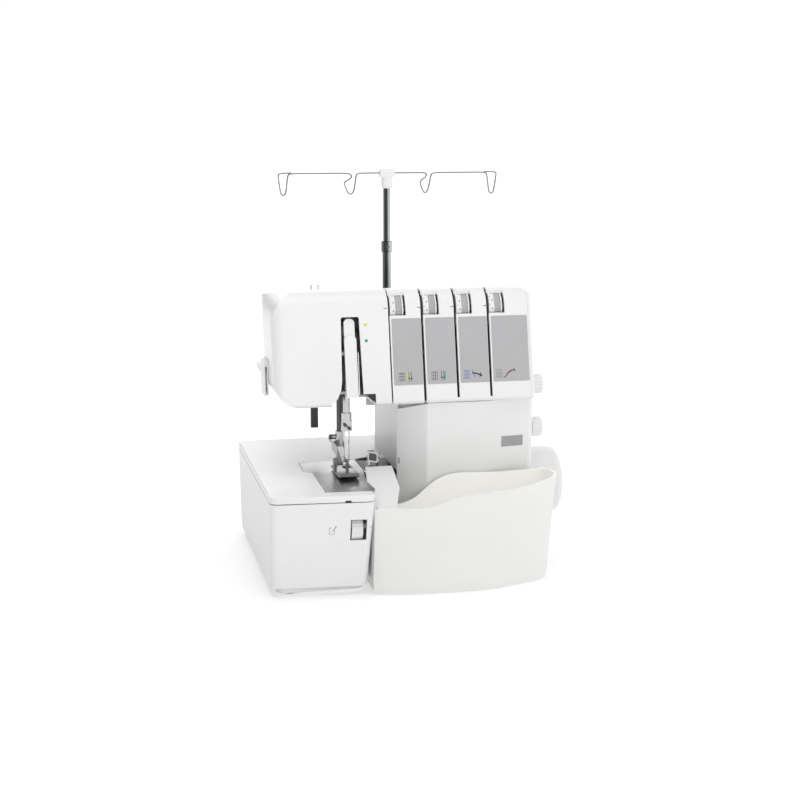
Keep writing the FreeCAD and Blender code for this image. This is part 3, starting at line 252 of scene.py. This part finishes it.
BY_NODE = {
    "base_plate": WHITE_SAT, "base_feet": RUBBER, "bed_cover": WHITE_BED, "cutting_width_dial": WHITE_SAT,
    "cloth_plate": WHITE_BED, "cloth_plate_catch": BLACK, "needle_plate": PLATE, "lower_knife": STEEL,
    "main_shaft": STEEL, "shaft_bearings": STEEL, "drive_pulley": ALU, "motor": BLACK, "motor_pulley": STEEL,
    "drive_belt": RUBBER, "handwheel": WHITE_SAT, "head_front_cover": WHITE, "tension_housing": WHITE,
    "rear_cover": WHITE, "right_side_cover": WHITE, "column_cover": WHITE, "looper_cover": WHITE,
    "looper_cover_hinge_rod": STEEL, "scrap_chute": WHITE, "trim_tray": TRAY, "tension_dial_1": DIAL_GREY,
    "tension_dial_2": DIAL_GREY, "tension_dial_3": DIAL_GREY, "tension_dial_4": DIAL_GREY,
    "tension_label_panels": PANEL, "takeup_cover": WHITE, "thread_takeup_lever": CHROME, "needle_bar": STEEL,
    "needles": CHROME, "presser_bar": BLACKSTEEL, "presser_spring": STEEL, "presser_foot": FOOT,
    "lifter_lever": DARK, "upper_looper": BLACKSTEEL, "lower_looper": STEEL, "knife_holder": DARKSTEEL,
    "upper_knife": STEEL, "feed_dogs": STEEL, "stitch_length_knob": WHITE_SAT, "differential_feed_knob": WHITE_SAT,
    "spool_stand": WHITE_SAT, "spool_pins": CHROME, "pole_upper": POLE, "guide_hub": WHITE_SAT,
    "thread_guide_wire": CHROME, "power_inlet": BLACK, "power_switch": BLACK, "pivot_pins": STEEL,
    "tension_units": STEEL, "pole_lower": POLE, "frame_casting": CAST, "thread_cutter": WHITE_SAT,
    "fixing_screws": STEEL, "needle_clamp": STEEL, "cone_holders": WHITE_SAT, "presser_holder": STEEL,
}
# moulded edges: bevel width in mm
BEVEL = {
    "bed_cover": 0.7, "cloth_plate": 0.7, "head_front_cover": 0.35, "tension_housing": 0.35, "rear_cover": 0.5,
    "right_side_cover": 0.6, "column_cover": 0.5, "looper_cover": 0.5, "scrap_chute": 0.4, "trim_tray": 0.6,
    "takeup_cover": 0.7, "base_plate": 0.4, "spool_stand": 0.8, "handwheel": 0.3, "thread_cutter": 0.6,
    "guide_hub": 0.3, "needle_plate": 0.25, "lifter_lever": 0.3, "presser_holder": 0.3, "presser_foot": 0.25,
    "needle_clamp": 0.3, "knife_holder": 0.4, "upper_knife": 0.15, "lower_knife": 0.15, "motor": 0.8,
    "power_inlet": 0.5, "power_switch": 0.3, "frame_casting": 0.5, "thread_takeup_lever": 0.25,
    "upper_looper": 0.3, "lower_looper": 0.3, "cone_holders": 0.3, "drive_pulley": 0.4, "motor_pulley": 0.3,
    "shaft_bearings": 0.4, "cloth_plate_catch": 0.3, "tension_label_panels": 0.08, "feed_dogs": 0.1,
}
for n, o in NODES.items():
    o.data.materials.clear()
    o.data.materials.append(BY_NODE.get(n, WHITE))
    for p in o.data.polygons:
        p.material_index = 0
    if n in BEVEL:
        w = o.modifiers.new("join", "WELD")
        w.merge_threshold = 0.000002
        b = o.modifiers.new("edge", "BEVEL")
        b.width = BEVEL[n] / 1000.0
        b.segments = 2
        b.limit_method = "ANGLE"
        b.angle_limit = math.radians(38)
        b.use_clamp_overlap = True
        b.miter_outer = "MITER_ARC"
        b.harden_normals = False
        wn = o.modifiers.new("shade", "WEIGHTED_NORMAL")
        wn.keep_sharp = False
        wn.weight = 80


# ------------------------------------------------------------------ mesh helpers
def obj_from(name, bm, mat, body, smooth=True, angle=35):
    me = bpy.data.meshes.new(name)
    bm.normal_update()
    bm.to_mesh(me)
    bm.free()
    for p in me.polygons:
        p.use_smooth = smooth
    me.materials.append(mat)
    if smooth:
        me.set_sharp_from_angle(angle=math.radians(angle))
    o = bpy.data.objects.new(name, me)
    bpy.context.scene.collection.objects.link(o)
    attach(o, body)
    return o


def face_y(z):
    return -68.0 + 24.0 * (z - 178.0) / 112.0


NFACE = Vector((0.0, -112.0, 24.0)).normalized()


def on_face(x, z, off=0.05):
    """A point on the tilted front face of the head (mm)."""
    p = Vector((x, face_y(z), z)) + NFACE * off
    return p


def add_prism(bm, pts, n, t):
    """Closed prism from an outline (mm points), extruded by -n*t."""
    top = [bm.verts.new(p / 1000.0) for p in pts]
    bot = [bm.verts.new((p - n * t) / 1000.0) for p in pts]
    bm.faces.new(top)
    bm.faces.new(bot[::-1])
    k = len(pts)
    for i in range(k):
        bm.faces.new([top[i], bot[i], bot[(i + 1) % k], top[(i + 1) % k]])
    return top


def stroke(bm, pts, n, wid, t=0.12):
    """Flat printed stroke through points lying on a plane with normal n."""
    k = len(pts)
    L, R = [], []
    for i in range(k):
        a = pts[max(0, i - 1)]
        b = pts[min(k - 1, i + 1)]
        d = (b - a).normalized()
        s = n.cross(d).normalized() * (wid / 2)
        L.append(pts[i] + s)
        R.append(pts[i] - s)
    for i in range(k - 1):
        add_prism(bm, [L[i], R[i], R[i + 1], L[i + 1]], n, t)


def disc_pts(c, u, v, r, k=24):
    return [c + (u * math.cos(2 * math.pi * i / k) + v * math.sin(2 * math.pi * i / k)) * r for i in range(k)]


U = Vector((1, 0, 0))
VF = U.cross(NFACE) * -1.0     # up along the face
if VF.z < 0:
    VF = -VF

# ------------------------------------------------------------------ coloured thread dots on the head
for nm, x, z, mt, r in (("thread_dot_yellow", -56.6, 258.6, INK_YEL, 1.5), ("thread_dot_green", -56.6, 242.7, INK_GRN, 1.6)):
    bm = bmesh.new()
    c = on_face(x, z, 0.10)
    add_prism(bm, disc_pts(c, U, VF, r), NFACE, 0.12)
    bmesh.ops.recalc_face_normals(bm, faces=bm.faces)
    obj_from(nm, bm, mt, "machine")

# ------------------------------------------------------------------ dials: printed ring, rims and index marks
SLOTS = [-32.6, 2.3, 37.1, 72.0]
DY, DZ, DR = -25.8, 270.0, 19.1


def ring(bm, x0, x1, r0, r1, k=120):
    vs = []
    for i in range(k):
        a = 2 * math.pi * i / k
        ca, sa = math.cos(a), math.sin(a)
        row = []
        for (x, r) in ((x0, r0), (x0, r1 - 0.08), (x0 + 0.08, r1), (x1 - 0.08, r1), (x1, r1 - 0.08), (x1, r0)):
            row.append(bm.verts.new(P(x, DY + r * ca, DZ + r * sa)))
        vs.append(row)
    for i in range(k):
        a, b = vs[i], vs[(i + 1) % k]
        for j in range(6):
            bm.faces.new([a[j], a[(j + 1) % 6], b[(j + 1) % 6], b[j]])


for i, sx in enumerate(SLOTS):
    body = "tension_dial_%d" % (i + 1)
    bodies = frame["bodies"]
    if body not in bodies:
        body = [b for b in bodies if ("tension" in b and str(i + 1) in b)][0]
    bm = bmesh.new()
    ring(bm, sx + 2.5, sx + 8.0, 18.0, 19.25)
    ring(bm, sx + 14.9, sx + 16.5, 18.0, 19.25)
    bmesh.ops.recalc_face_normals(bm, faces=bm.faces)
    obj_from("dial_%d_white_bands" % (i + 1), bm, WHITE_SAT, body)
    bm = bmesh.new()
    ring(bm, sx + 14.5, sx + 14.9, 18.0, 19.2)
    bmesh.ops.recalc_face_normals(bm, faces=bm.faces)
    obj_from("dial_%d_groove" % (i + 1), bm, INK_GREY, body)
    # numbers and half-step ticks
    for k in range(10):
        th = math.radians(180.0 - 2.0) + math.radians(26.0) * (k - 4)
        ca, sa = math.cos(th), math.sin(th)
        nrm = Vector((0, ca, sa))
        tan = Vector((0, sa, -ca))     # pointing up when the number faces the front
        if th < 0:
            pass
        cu = bpy.data.curves.new("num", "FONT")
        cu.body = str(k)
        cu.size = 0.0031
        cu.align_x = "CENTER"
        cu.align_y = "CENTER"
        cu.extrude = 0.00004
        cu.offset = 0.00004
        cu.resolution_u = 2
        tmp = bpy.data.objects.new("num", cu)
        bpy.context.scene.collection.objects.link(tmp)
        bpy.context.view_layer.update()
        me = bpy.data.meshes.new_from_object(tmp)
        bpy.data.objects.remove(tmp)
        me.name = "dial_%d_digit_%d" % (i + 1, k)
        o = bpy.data.objects.new(me.name, me)
        me.materials.clear()
        me.materials.append(INK)
        bpy.context.scene.collection.objects.link(o)
        # wrapped on the drum
        for v in me.vertices:
            lx, ly, lz = (q * 1000.0 for q in v.co)
            a2 = th - ly / 19.3
            rr = 19.30 + lz
            v.co = P(sx + 6.1 + lx, DY + rr * math.cos(a2), DZ + rr * math.sin(a2))
        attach(o, body)
        # tick between the numbers
        th2 = th + math.radians(13.0)
        c2, s2 = math.cos(th2), math.sin(th2)
        n2 = Vector((0, c2, s2))
        c = Vector((sx + 3.9, DY + 19.29 * c2, DZ + 19.29 * s2))
        bm = bmesh.new()
        t2 = n2.cross(U)
        add_prism(bm, [c - U * 0.9 - t2 * 0.17, c + U * 0.9 - t2 * 0.17, c + U * 0.9 + t2 * 0.17, c - U * 0.9 + t2 * 0.17], n2, 0.05)
        bmesh.ops.recalc_face_normals(bm, faces=bm.faces)
        obj_from("dial_%d_tick_%d" % (i + 1, k), bm, INK, body, smooth=False)
    # index mark on the housing, left of the slot
    bm = bmesh.new()
    c = on_face(sx - 3.1, 274.2, 0.10)
    stroke(bm, [c - U * 1.5, c + U * 1.5], NFACE, 0.7)
    bmesh.ops.recalc_face_normals(bm, faces=bm.faces)
    obj_from("index_mark_%d" % (i + 1), bm, INK, "machine", smooth=False)

# ------------------------------------------------------------------ threading pictograms on the grey panels
def icon_pt(x, z, off):
    return on_face(x, z - 4.3, off)


ICONS = [(-23.6, INK, INK_YEL), (10.5, INK, INK_GRN), (44.6, INK_BLU, INK_BLU), (78.9, INK_GREY, INK_RED)]
for i, (x0, c_loop, c_acc) in enumerate(ICONS):
    bm = bmesh.new()
    for col in range(3):
        for row in range(3):
            cx, cz = x0 + col * 2.1, 206.1 + row * 3.2
            c = icon_pt(cx, cz, 0.32)
            pts = [c + U * (0.95 * math.cos(a)) + VF * (1.5 * math.sin(a)) for a in [math.radians(200 - 22 * q) for q in range(12)]]
            stroke(bm, pts, NFACE, 0.42, 0.1)
    bmesh.ops.recalc_face_normals(bm, faces=bm.faces)
    obj_from("stitch_icon_%d" % (i + 1), bm, c_loop, "machine", smooth=False)
    bm = bmesh.new()
    bm2 = bmesh.new()
    bx = x0 + 9.6
    if i < 2:
        for dx in (0.0, 2.4):
            a = icon_pt(bx + dx, 205.0, 0.32)
            b_ = icon_pt(bx + dx - 0.3, 214.6, 0.32)
            stroke(bm, [a, b_], NFACE, 0.55, 0.1)
            m_ = icon_pt(bx + dx, 208.0, 0.33)
            stroke(bm, [m_ - U * 0.9, m_ + U * 0.9], NFACE, 1.3, 0.1)
        off = -1.4 if i == 0 else 3.4
        stroke(bm2, [icon_pt(bx + off, 206.0, 0.34), icon_pt(bx + off, 210.0, 0.34), icon_pt(bx + off + 0.4, 214.0, 0.34)], NFACE, 1.0, 0.1)
    elif i == 2:
        stroke(bm, [icon_pt(bx - 2.0, 211.6, 0.33), icon_pt(bx + 2.0, 210.8, 0.33), icon_pt(bx + 6.6, 209.4, 0.33)], NFACE, 1.5, 0.1)
        add_prism(bm, [icon_pt(bx + 5.6, 207.0, 0.34), icon_pt(bx + 9.0, 208.2, 0.34), icon_pt(bx + 6.6, 211.9, 0.34)], NFACE, 0.1)
        stroke(bm2, [icon_pt(bx - 1.6, 214.6, 0.35), icon_pt(bx - 1.2, 211.8, 0.36), icon_pt(bx + 1.4, 206.6, 0.35)], NFACE, 0.6, 0.1)
    else:
        pts = [icon_pt(bx - 2.6, 206.6, 0.33), icon_pt(bx - 1.4, 205.6, 0.33), icon_pt(bx + 0.6, 208.2, 0.33), icon_pt(bx + 3.4, 210.8, 0.33), icon_pt(bx + 6.6, 212.4, 0.33), icon_pt(bx + 9.2, 213.0, 0.33)]
        stroke(bm, pts, NFACE, 0.9, 0.1)
        stroke(bm, [icon_pt(bx + 8.2, 214.8, 0.33), icon_pt(bx + 9.8, 211.2, 0.33)], NFACE, 0.9, 0.1)
        stroke(bm2, [p + VF * 0.9 + NFACE * 0.02 for p in pts[2:5]], NFACE, 0.7, 0.1)
    for nm, b3, mt in (("thread_icon_%d" % (i + 1), bm, INK), ("thread_icon_colour_%d" % (i + 1), bm2, c_acc)):
        bmesh.ops.recalc_face_normals(b3, faces=b3.faces)
        obj_from(nm, b3, mt, "machine", smooth=False)

# ------------------------------------------------------------------ bent wire thread guide as one smooth rod
yp, Z = 100.0, 404.5
left = [(-8.0, yp, Z), (-30, yp, Z), (-35.4, yp, Z - 0.4), (-36.6, yp, Z - 4), (-37.8, yp, Z - 14), (-39.6, yp, Z - 20.8), (-42.9, yp, Z - 23.2),
        (-46.0, yp, Z - 20.6), (-48.4, yp, Z - 14.6), (-49.9, yp, Z - 11.2), (-48.6, yp - 0.8, Z - 9.0), (-43.2, yp - 2.0, Z - 6.0), (-41.4, yp - 2.2, Z - 3.6), (-43.4, yp - 1.2, Z - 0.6),
        (-48, yp - 0.2, Z), (-60, yp, Z), (-90, yp, Z), (-108.4, yp, Z), (-111.2, yp, Z - 1.2), (-112.4, yp, Z - 8), (-113.4, yp, Z - 17.6), (-114.4, yp, Z - 22.0), (-117.0, yp, Z - 23.6),
        (-119.4, yp, Z - 21.8), (-120.8, yp, Z - 14), (-122.2, yp - 0.4, Z - 3.4), (-121.8, yp - 1.4, Z - 0.2), (-117.6, yp - 2.0, Z + 0.6), (-107.8, yp - 2.2, Z + 0.8)]
right = [(8.0, yp, Z), (30, yp, Z), (39.4, yp, Z), (42.2, yp - 1.0, Z - 1.0), (42.0, yp - 2.0, Z - 3.8), (37.4, yp - 2.0, Z - 7.4), (35.2, yp - 0.8, Z - 10.0), (36.0, yp, Z - 13.4), (37.6, yp, Z - 18.4),
         (40.9, yp, Z - 22.8), (44.2, yp, Z - 19.4), (46.0, yp, Z - 12), (47.6, yp, Z - 3), (49.6, yp, Z - 0.2), (60, yp, Z), (90, yp, Z)] + [(-x, y, z) for x, y, z in left[17:]]


def rod(name, pts, r, mat, body, order=3, cyclic=False):
    cu = bpy.data.curves.new(name, "CURVE")
    cu.dimensions = "3D"
    cu.bevel_depth = r / 1000.0
    cu.bevel_resolution = 4
    cu.use_fill_caps = True
    sp = cu.splines.new("NURBS")
    sp.points.add(len(pts) - 1)
    for i, p in enumerate(pts):
        sp.points[i].co = (p[0] / 1000.0, p[1] / 1000.0, p[2] / 1000.0, 1.0)
    sp.use_cyclic_u = cyclic
    sp.use_endpoint_u = not cyclic
    sp.order_u = order
    sp.resolution_u = 8
    tmp = bpy.data.objects.new(name, cu)
    bpy.context.scene.collection.objects.link(tmp)
    bpy.context.view_layer.update()
    dg = bpy.context.evaluated_depsgraph_get()
    me = bpy.data.meshes.new_from_object(tmp.evaluated_get(dg))
    bpy.data.objects.remove(tmp)
    me.name = name
    me.materials.clear()
    me.materials.append(mat)
    for p in me.polygons:
        p.use_smooth = True
    me.set_sharp_from_angle(angle=math.radians(50))
    o = bpy.data.objects.new(name, me)
    bpy.context.scene.collection.objects.link(o)
    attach(o, body)
    return o


full = right[::-1] + [(0.0, yp, Z)] + left
wire = rod("thread_guide_bent_wire", full, 0.85, WIRE, "thread_guide")
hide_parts("thread_guide_wire")


# ------------------------------------------------------------------ screw heads
def screw(name, c, n, r, h, kind, mat, body, turn=0.3):
    """Turned screw head with a real slot or cross: crowned rim, recess walls and floor."""
    n = n.normalized()
    a = n.orthogonal().normalized()
    b = n.cross(a)
    u = a * math.cos(turn) + b * math.sin(turn)
    v = n.cross(u)
    bm = bmesh.new()
    k = 40
    prof = [(r, 0.0), (r, h * 0.55), (r * 0.93, h * 0.86), (r * 0.80, h)]
    rows = []
    for rr, hh in prof:
        rows.append([bm.verts.new((c + n * hh + (u * math.cos(2 * math.pi * i / k) + v * math.sin(2 * math.pi * i / k)) * rr) / 1000.0) for i in range(k)])
    for q in range(len(rows) - 1):
        for i in range(k):
            bm.faces.new([rows[q][i], rows[q][(i + 1) % k], rows[q + 1][(i + 1) % k], rows[q + 1][i]])
    bm.faces.new(rows[-1])
    bm.faces.new(rows[0][::-1])
    bmesh.ops.recalc_face_normals(bm, faces=bm.faces)
    o = obj_from(name, bm, mat, body)
    sb = bmesh.new()
    w = r * 0.13
    if kind == "slot":
        bars = [(u, v, r * 1.2)]
    else:
        bars = [(u, v, r * 0.62), (v, u, r * 0.62)]
    for (d, s, ln) in bars:
        pts = [c + n * (h + 0.3) + d * x + s * y for x, y in ((-ln, -w), (ln, -w), (ln, w), (-ln, w))]
        add_prism(sb, pts, n, 0.3 + h * 0.62)
    bmesh.ops.recalc_face_normals(sb, faces=sb.faces)
    me = bpy.data.meshes.new(name + "_cut")
    sb.to_mesh(me)
    sb.free()
    me.materials.append(mat)
    cut = bpy.data.objects.new(name + "_cut", me)
    bpy.context.scene.collection.objects.link(cut)
    md = o.modifiers.new("cut", "BOOLEAN")
    md.object = cut
    md.operation = "DIFFERENCE"
    md.solver = "EXACT"
    md.use_self = True
    dg = bpy.context.evaluated_depsgraph_get()
    done = bpy.data.meshes.new_from_object(o.evaluated_get(dg))
    o.modifiers.clear()
    o.data = done
    bpy.data.objects.remove(cut)
    return o


# ------------------------------------------------------------------ finish by area on some CAD nodes
def paint(node, mat, pred):
    o = NODES[node]
    o.data.materials.append(mat)
    k = len(o.data.materials) - 1
    for p in o.data.polygons:
        if pred(p.center * 1000.0, p.normal):
            p.material_index = k


paint("presser_holder", FOOT, lambda c, n: c.z < 127.0 and c.x > -89.0)
paint("presser_holder", BLACKSTEEL, lambda c, n: c.x < -88.5 and c.y > -40)
paint("needle_clamp", BLACKSTEEL, lambda c, n: c.y < -49.7 and c.z < 159)
# painted light: the tray's inner faces glow faintly by emission to lift the shade inside the tray
TRAY_IN_GLOW = plastic("tray_inner_painted_glow", (0.80, 0.795, 0.775), 0.45, 0.05, grain=700.0, grain_mm=0.008)
for q in TRAY_IN_GLOW.node_tree.nodes:
    if q.type == "BSDF_PRINCIPLED":
        q.inputs["Emission Color"].default_value = (1.0, 0.99, 0.96, 1)
        q.inputs["Emission Strength"].default_value = 0.17
# the glowing painted-light material goes on the tray's inner faces: rear wall, front wall inside, right wall inside and
# floor
paint("trim_tray", TRAY_IN_GLOW, lambda c, n: (n.y < -0.6 and c.y > -85) or (n.y > 0.3 and c.y < -85) or (n.x < -0.5 and c.x > 100) or (n.z > 0.9 and c.z < 8))
paint("cone_holders", FELT, lambda c, n: c.z < 199.05)

# ------------------------------------------------------------------ small mechanical details at the needle
screw("needle_set_screw_1", Vector((-78.2, -52.6, 156.0)), Vector((0, -1, 0)), 1.75, 0.55, "cross", BLACKSTEEL, "needle_bar", 0.4)
screw("needle_set_screw_2", Vector((-74.0, -52.6, 152.6)), Vector((0, -1, 0)), 1.75, 0.55, "cross", BLACKSTEEL, "needle_bar", 1.0)
screw("holder_set_screw", Vector((-90.5, -30.0, 140.0)), Vector((-1, 0, 0)), 2.5, 1.0, "slot", BLACKSTEEL, "presser_bar", 0.5)
screw("knife_clamp_screw", Vector((-47.4, -52.5, 118.0)), Vector((1, 0, 0)), 2.7, 3.4, "slot", STEEL, "knife", 0.9)

# clamp frame around the upper knife, with a bright edge
bm = bmesh.new()
pts = [Vector((-56.4, -57.6, 118.5)), Vector((-46.4, -57.6, 116.5)), Vector((-45.6, -57.6, 125.6)), Vector((-47.0, -57.6, 127.6)), Vector((-54.8, -57.6, 129.0)), Vector((-56.0, -57.6, 128.0))]
add_prism(bm, pts, Vector((0, -1, 0)), 0.55)
bmesh.ops.recalc_face_normals(bm, faces=bm.faces)
fr = obj_from("knife_clamp_frame", bm, STEEL, "knife", smooth=False)
bm = bmesh.new()
pts = [Vector((-55.0, -58.15, 119.9)), Vector((-47.4, -58.15, 118.3)), Vector((-47.0, -58.15, 124.8)), Vector((-48.0, -58.15, 126.0)), Vector((-54.2, -58.15, 127.2)), Vector((-54.8, -58.15, 126.6))]
add_prism(bm, pts, Vector((0, -1, 0)), 0.5)
bmesh.ops.recalc_face_normals(bm, faces=bm.faces)
obj_from("knife_clamp_pad", bm, BLACKSTEEL, "knife", smooth=False)

# ------------------------------------------------------------------ cup-and-arrow mark and pointer dot by the cutting width dial
def front_mark(name, strokes, mat, y):
    bm = bmesh.new()
    n = Vector((0, -1, 0))
    for pts, wd in strokes:
        stroke(bm, [Vector((x, y, z)) for x, z in pts], n, wd, 0.1)
    bmesh.ops.recalc_face_normals(bm, faces=bm.faces)
    return obj_from(name, bm, mat, "machine", smooth=False)


bedlo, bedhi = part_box("bed_cover")


def bed_front_y(x, z):
    """front face of the bed at this spot, found on the CAD mesh"""
    hit, loc, nrm, idx = NODES["bed_cover"].ray_cast(P(x, -300, z), Vector((0, 1, 0)))
    return loc.y * 1000.0 if hit else bedlo.y * 1000.0


bm = bmesh.new()
for pts, wd in (([(-110.6, 73.5), (-110.4, 66.4), (-106.0, 66.2), (-105.4, 71.0)], 0.42), ([(-110.6, 73.5), (-108.4, 73.2)], 0.42), ([(-107.8, 69.6), (-105.2, 72.6), (-103.6, 74.4)], 0.5), ([(-106.8, 71.8), (-105.0, 72.8), (-104.6, 75.4)], 0.42)):
    q = [Vector((x, bed_front_y(x, z) - 0.09, z)) for x, z in pts]
    stroke(bm, q, Vector((0, -1, 0)), wd, 0.1)
bmesh.ops.recalc_face_normals(bm, faces=bm.faces)
obj_from("trim_catcher_mark", bm, INK_GREY, "machine", smooth=False)
bm = bmesh.new()
c = Vector((-70.2, bed_front_y(-70.2, 72.5) - 0.09, 72.5))
add_prism(bm, disc_pts(c, Vector((1, 0, 0)), Vector((0, 0, 1)), 0.75), Vector((0, -1, 0)), 0.1)
bmesh.ops.recalc_face_normals(bm, faces=bm.faces)
obj_from("cutting_width_pointer", bm, INK_GREY, "machine")

# plain grey rating badge on the looper cover, no lettering
def cover_y(x, z):
    hit, loc, nrm, idx = NODES["looper_cover"].ray_cast(P(x, -300, z), Vector((0, 1, 0)))
    return loc.y * 1000.0


bm = bmesh.new()
x0, x1, z0, z1 = 84.5, 108.5, 128.0, 139.0
ya, yb = cover_y(x0, z0) - 0.22, cover_y(x1, z0) - 0.22
n = Vector((ya - yb, -(x1 - x0), 0)).normalized()
add_prism(bm, [Vector((x0, ya, z0)), Vector((x1, yb, z0)), Vector((x1, yb, z1)), Vector((x0, ya, z1))], n, 0.2)
bmesh.ops.recalc_face_normals(bm, faces=bm.faces)
badge = obj_from("plain_badge", bm, BADGE, "looper_cover", smooth=False)
bv = badge.modifiers.new("soft", "BEVEL")
bv.width = 0.00008
bv.segments = 2

# lower left corner of the tray wall, carrying the front face down to the bed side
def tray_y(x, z):
    pb = [(-65.6, -130.7), (-63.5, -131.5), (-57.0, -134.0), (-38.6, -138.0)]
    pt = [(-65.6, -140.8), (-63.5, -141.5), (-55.0, -143.5), (-38.6, -145.5)]

    def at(pp):
        for (xa, ya), (xb, yb2) in zip(pp, pp[1:]):
            if x <= xb:
                return ya + (yb2 - ya) * (x - xa) / (xb - xa)
        return pp[-1][1]
    return at(pb) + (at(pt) - at(pb)) * (z - 1.0) / 109.0


bm = bmesh.new()
xs = [-65.5, -64.2, -63.0, -61.0, -59.0, -57.0, -55.5]
zs = [1.2, 10, 20, 30, 40, 50, 60, 68, 76, 84, 89.0]
grid = []
for off in (0.06, 1.2):
    grid.append([[bm.verts.new(P(x, tray_y(x, z) + off, z)) for x in xs] for z in zs])
for a in range(len(zs) - 1):
    for b2 in range(len(xs) - 1):
        bm.faces.new([grid[0][a][b2], grid[0][a][b2 + 1], grid[0][a + 1][b2 + 1], grid[0][a + 1][b2]])
        bm.faces.new([grid[1][a][b2], grid[1][a + 1][b2], grid[1][a + 1][b2 + 1], grid[1][a][b2 + 1]])
for a in range(len(zs) - 1):
    for k in (0, len(xs) - 1):
        bm.faces.new([grid[0][a][k], grid[0][a + 1][k], grid[1][a + 1][k], grid[1][a][k]])
for b2 in range(len(xs) - 1):
    for k in (0, len(zs) - 1):
        bm.faces.new([grid[0][k][b2], grid[0][k][b2 + 1], grid[1][k][b2 + 1], grid[1][k][b2]])
bmesh.ops.recalc_face_normals(bm, faces=bm.faces)
obj_from("trim_tray_corner", bm, TRAY, "trim_tray", smooth=False)

# ------------------------------------------------------------------ floor, light and camera
def stage_floor():
    m, nt, b = _new("floor_pale")
    n = _noise(nt, 3.0, 2.0)
    _tint(nt, n.outputs[0], (0.56, 0.56, 0.56), (0.58, 0.58, 0.58), b)
    b.inputs["Roughness"].default_value = 0.7
    b.inputs["Specular IOR Level"].default_value = 0.1
    b.inputs["Emission Color"].default_value = (1, 1, 1, 1)
    tcf = nt.nodes.new("ShaderNodeTexCoord")
    ln = nt.nodes.new("ShaderNodeVectorMath")
    ln.operation = "LENGTH"
    nt.links.new(tcf.outputs["Object"], ln.inputs[0])
    far = nt.nodes.new("ShaderNodeMapRange")
    far.inputs["From Min"].default_value = 0.35
    far.inputs["From Max"].default_value = 1.3
    far.inputs["To Min"].default_value = 0.47
    far.inputs["To Max"].default_value = 0.85
    nt.links.new(ln.outputs["Value"], far.inputs["Value"])
    nt.links.new(far.outputs[0], b.inputs["Emission Strength"])
    me = bpy.data.meshes.new("floor")
    s = 60.0
    me.from_pydata([(-s, -s, 0), (s, -s, 0), (s, s, 0), (-s, s, 0)], [], [(0, 1, 2, 3)])
    me.materials.append(m)
    o = bpy.data.objects.new("floor", me)
    o.location = (0, 0, -0.0002)
    bpy.context.scene.collection.objects.link(o)


stage_floor()

w = bpy.data.worlds.new("studio")
bpy.context.scene.world = w
w.use_nodes = True
nt = w.node_tree
for n in list(nt.nodes):
    nt.nodes.remove(n)
out = nt.nodes.new("ShaderNodeOutputWorld")
bg = nt.nodes.new("ShaderNodeBackground")
bg.inputs["Color"].default_value = (1, 1, 1, 1)
tc = nt.nodes.new("ShaderNodeTexCoord")
sep = nt.nodes.new("ShaderNodeSeparateXYZ")
nt.links.new(tc.outputs["Generated"], sep.inputs[0])
# brighter overhead and from the right, a darker band low down in front
up = nt.nodes.new("ShaderNodeMapRange")
up.inputs["From Min"].default_value = -0.05
up.inputs["From Max"].default_value = 0.75
up.inputs["To Min"].default_value = 0.42
up.inputs["To Max"].default_value = 1.20
nt.links.new(sep.outputs["Z"], up.inputs["Value"])
rt = nt.nodes.new("ShaderNodeMapRange")
rt.inputs["From Min"].default_value = -1.0
rt.inputs["From Max"].default_value = 1.0
rt.inputs["To Min"].default_value = 0.28
rt.inputs["To Max"].default_value = 1.10
nt.links.new(sep.outputs["X"], rt.inputs["Value"])
mul = nt.nodes.new("ShaderNodeMath")
mul.operation = "MULTIPLY"
nt.links.new(up.outputs[0], mul.inputs[0])
nt.links.new(rt.outputs[0], mul.inputs[1])
nt.links.new(mul.outputs[0], bg.inputs["Strength"])
white = nt.nodes.new("ShaderNodeBackground")
white.inputs["Color"].default_value = (1, 1, 1, 1)
white.inputs["Strength"].default_value = 1.02
lp = nt.nodes.new("ShaderNodeLightPath")
mix = nt.nodes.new("ShaderNodeMixShader")
nt.links.new(lp.outputs["Is Camera Ray"], mix.inputs[0])
nt.links.new(bg.outputs[0], mix.inputs[1])
nt.links.new(white.outputs[0], mix.inputs[2])
nt.links.new(mix.outputs[0], out.inputs[0])


def area(name, loc, target, size, energy, col=(1, 1, 1)):
    l = bpy.data.lights.new(name, "AREA")
    l.shape = "RECTANGLE"
    l.size, l.size_y = size
    l.energy = energy
    l.color = col
    o = bpy.data.objects.new(name, l)
    bpy.context.scene.collection.objects.link(o)
    o.location = loc
    d = Vector(target) - Vector(loc)
    o.rotation_euler = d.to_track_quat("-Z", "Y").to_euler()
    return o


area("key_softbox", (0.9, -2.4, 0.80), (0, 0, 0.15), (1.8, 1.2), 7.8)
area("top_softbox", (-0.5, -0.5, 2.2), (-0.1, 0, 0.1), (1.6, 1.6), 13.5)
area("front_left_fill", (-1.1, -2.2, 0.55), (0, 0, 0.12), (1.2, 0.8), 2.4)
area("rear_softbox", (0.1, 1.8, 1.0), (-0.1, 0, 0.1), (1.6, 1.0), 9.0)

cam = bpy.data.cameras.new("view")
cam.sensor_width = 36.0
cam.sensor_fit = "HORIZONTAL"
cam.lens = 67.5
cam.clip_start = 0.01
cam.clip_end = 200.0
co = bpy.data.objects.new("view", cam)
bpy.context.scene.collection.objects.link(co)
co.location = P(-350.4, -1524.9, 465.2)
fwd = Vector((0.2143, 0.9589, -0.1857)).normalized()
co.rotation_euler = fwd.to_track_quat("-Z", "Y").to_euler()
bpy.context.scene.camera = co
bpy.context.scene.view_settings.view_transform = "Standard"
bpy.context.scene.view_settings.look = "None"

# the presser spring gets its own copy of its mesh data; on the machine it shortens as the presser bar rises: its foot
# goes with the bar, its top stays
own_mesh(NODES["presser_spring"])
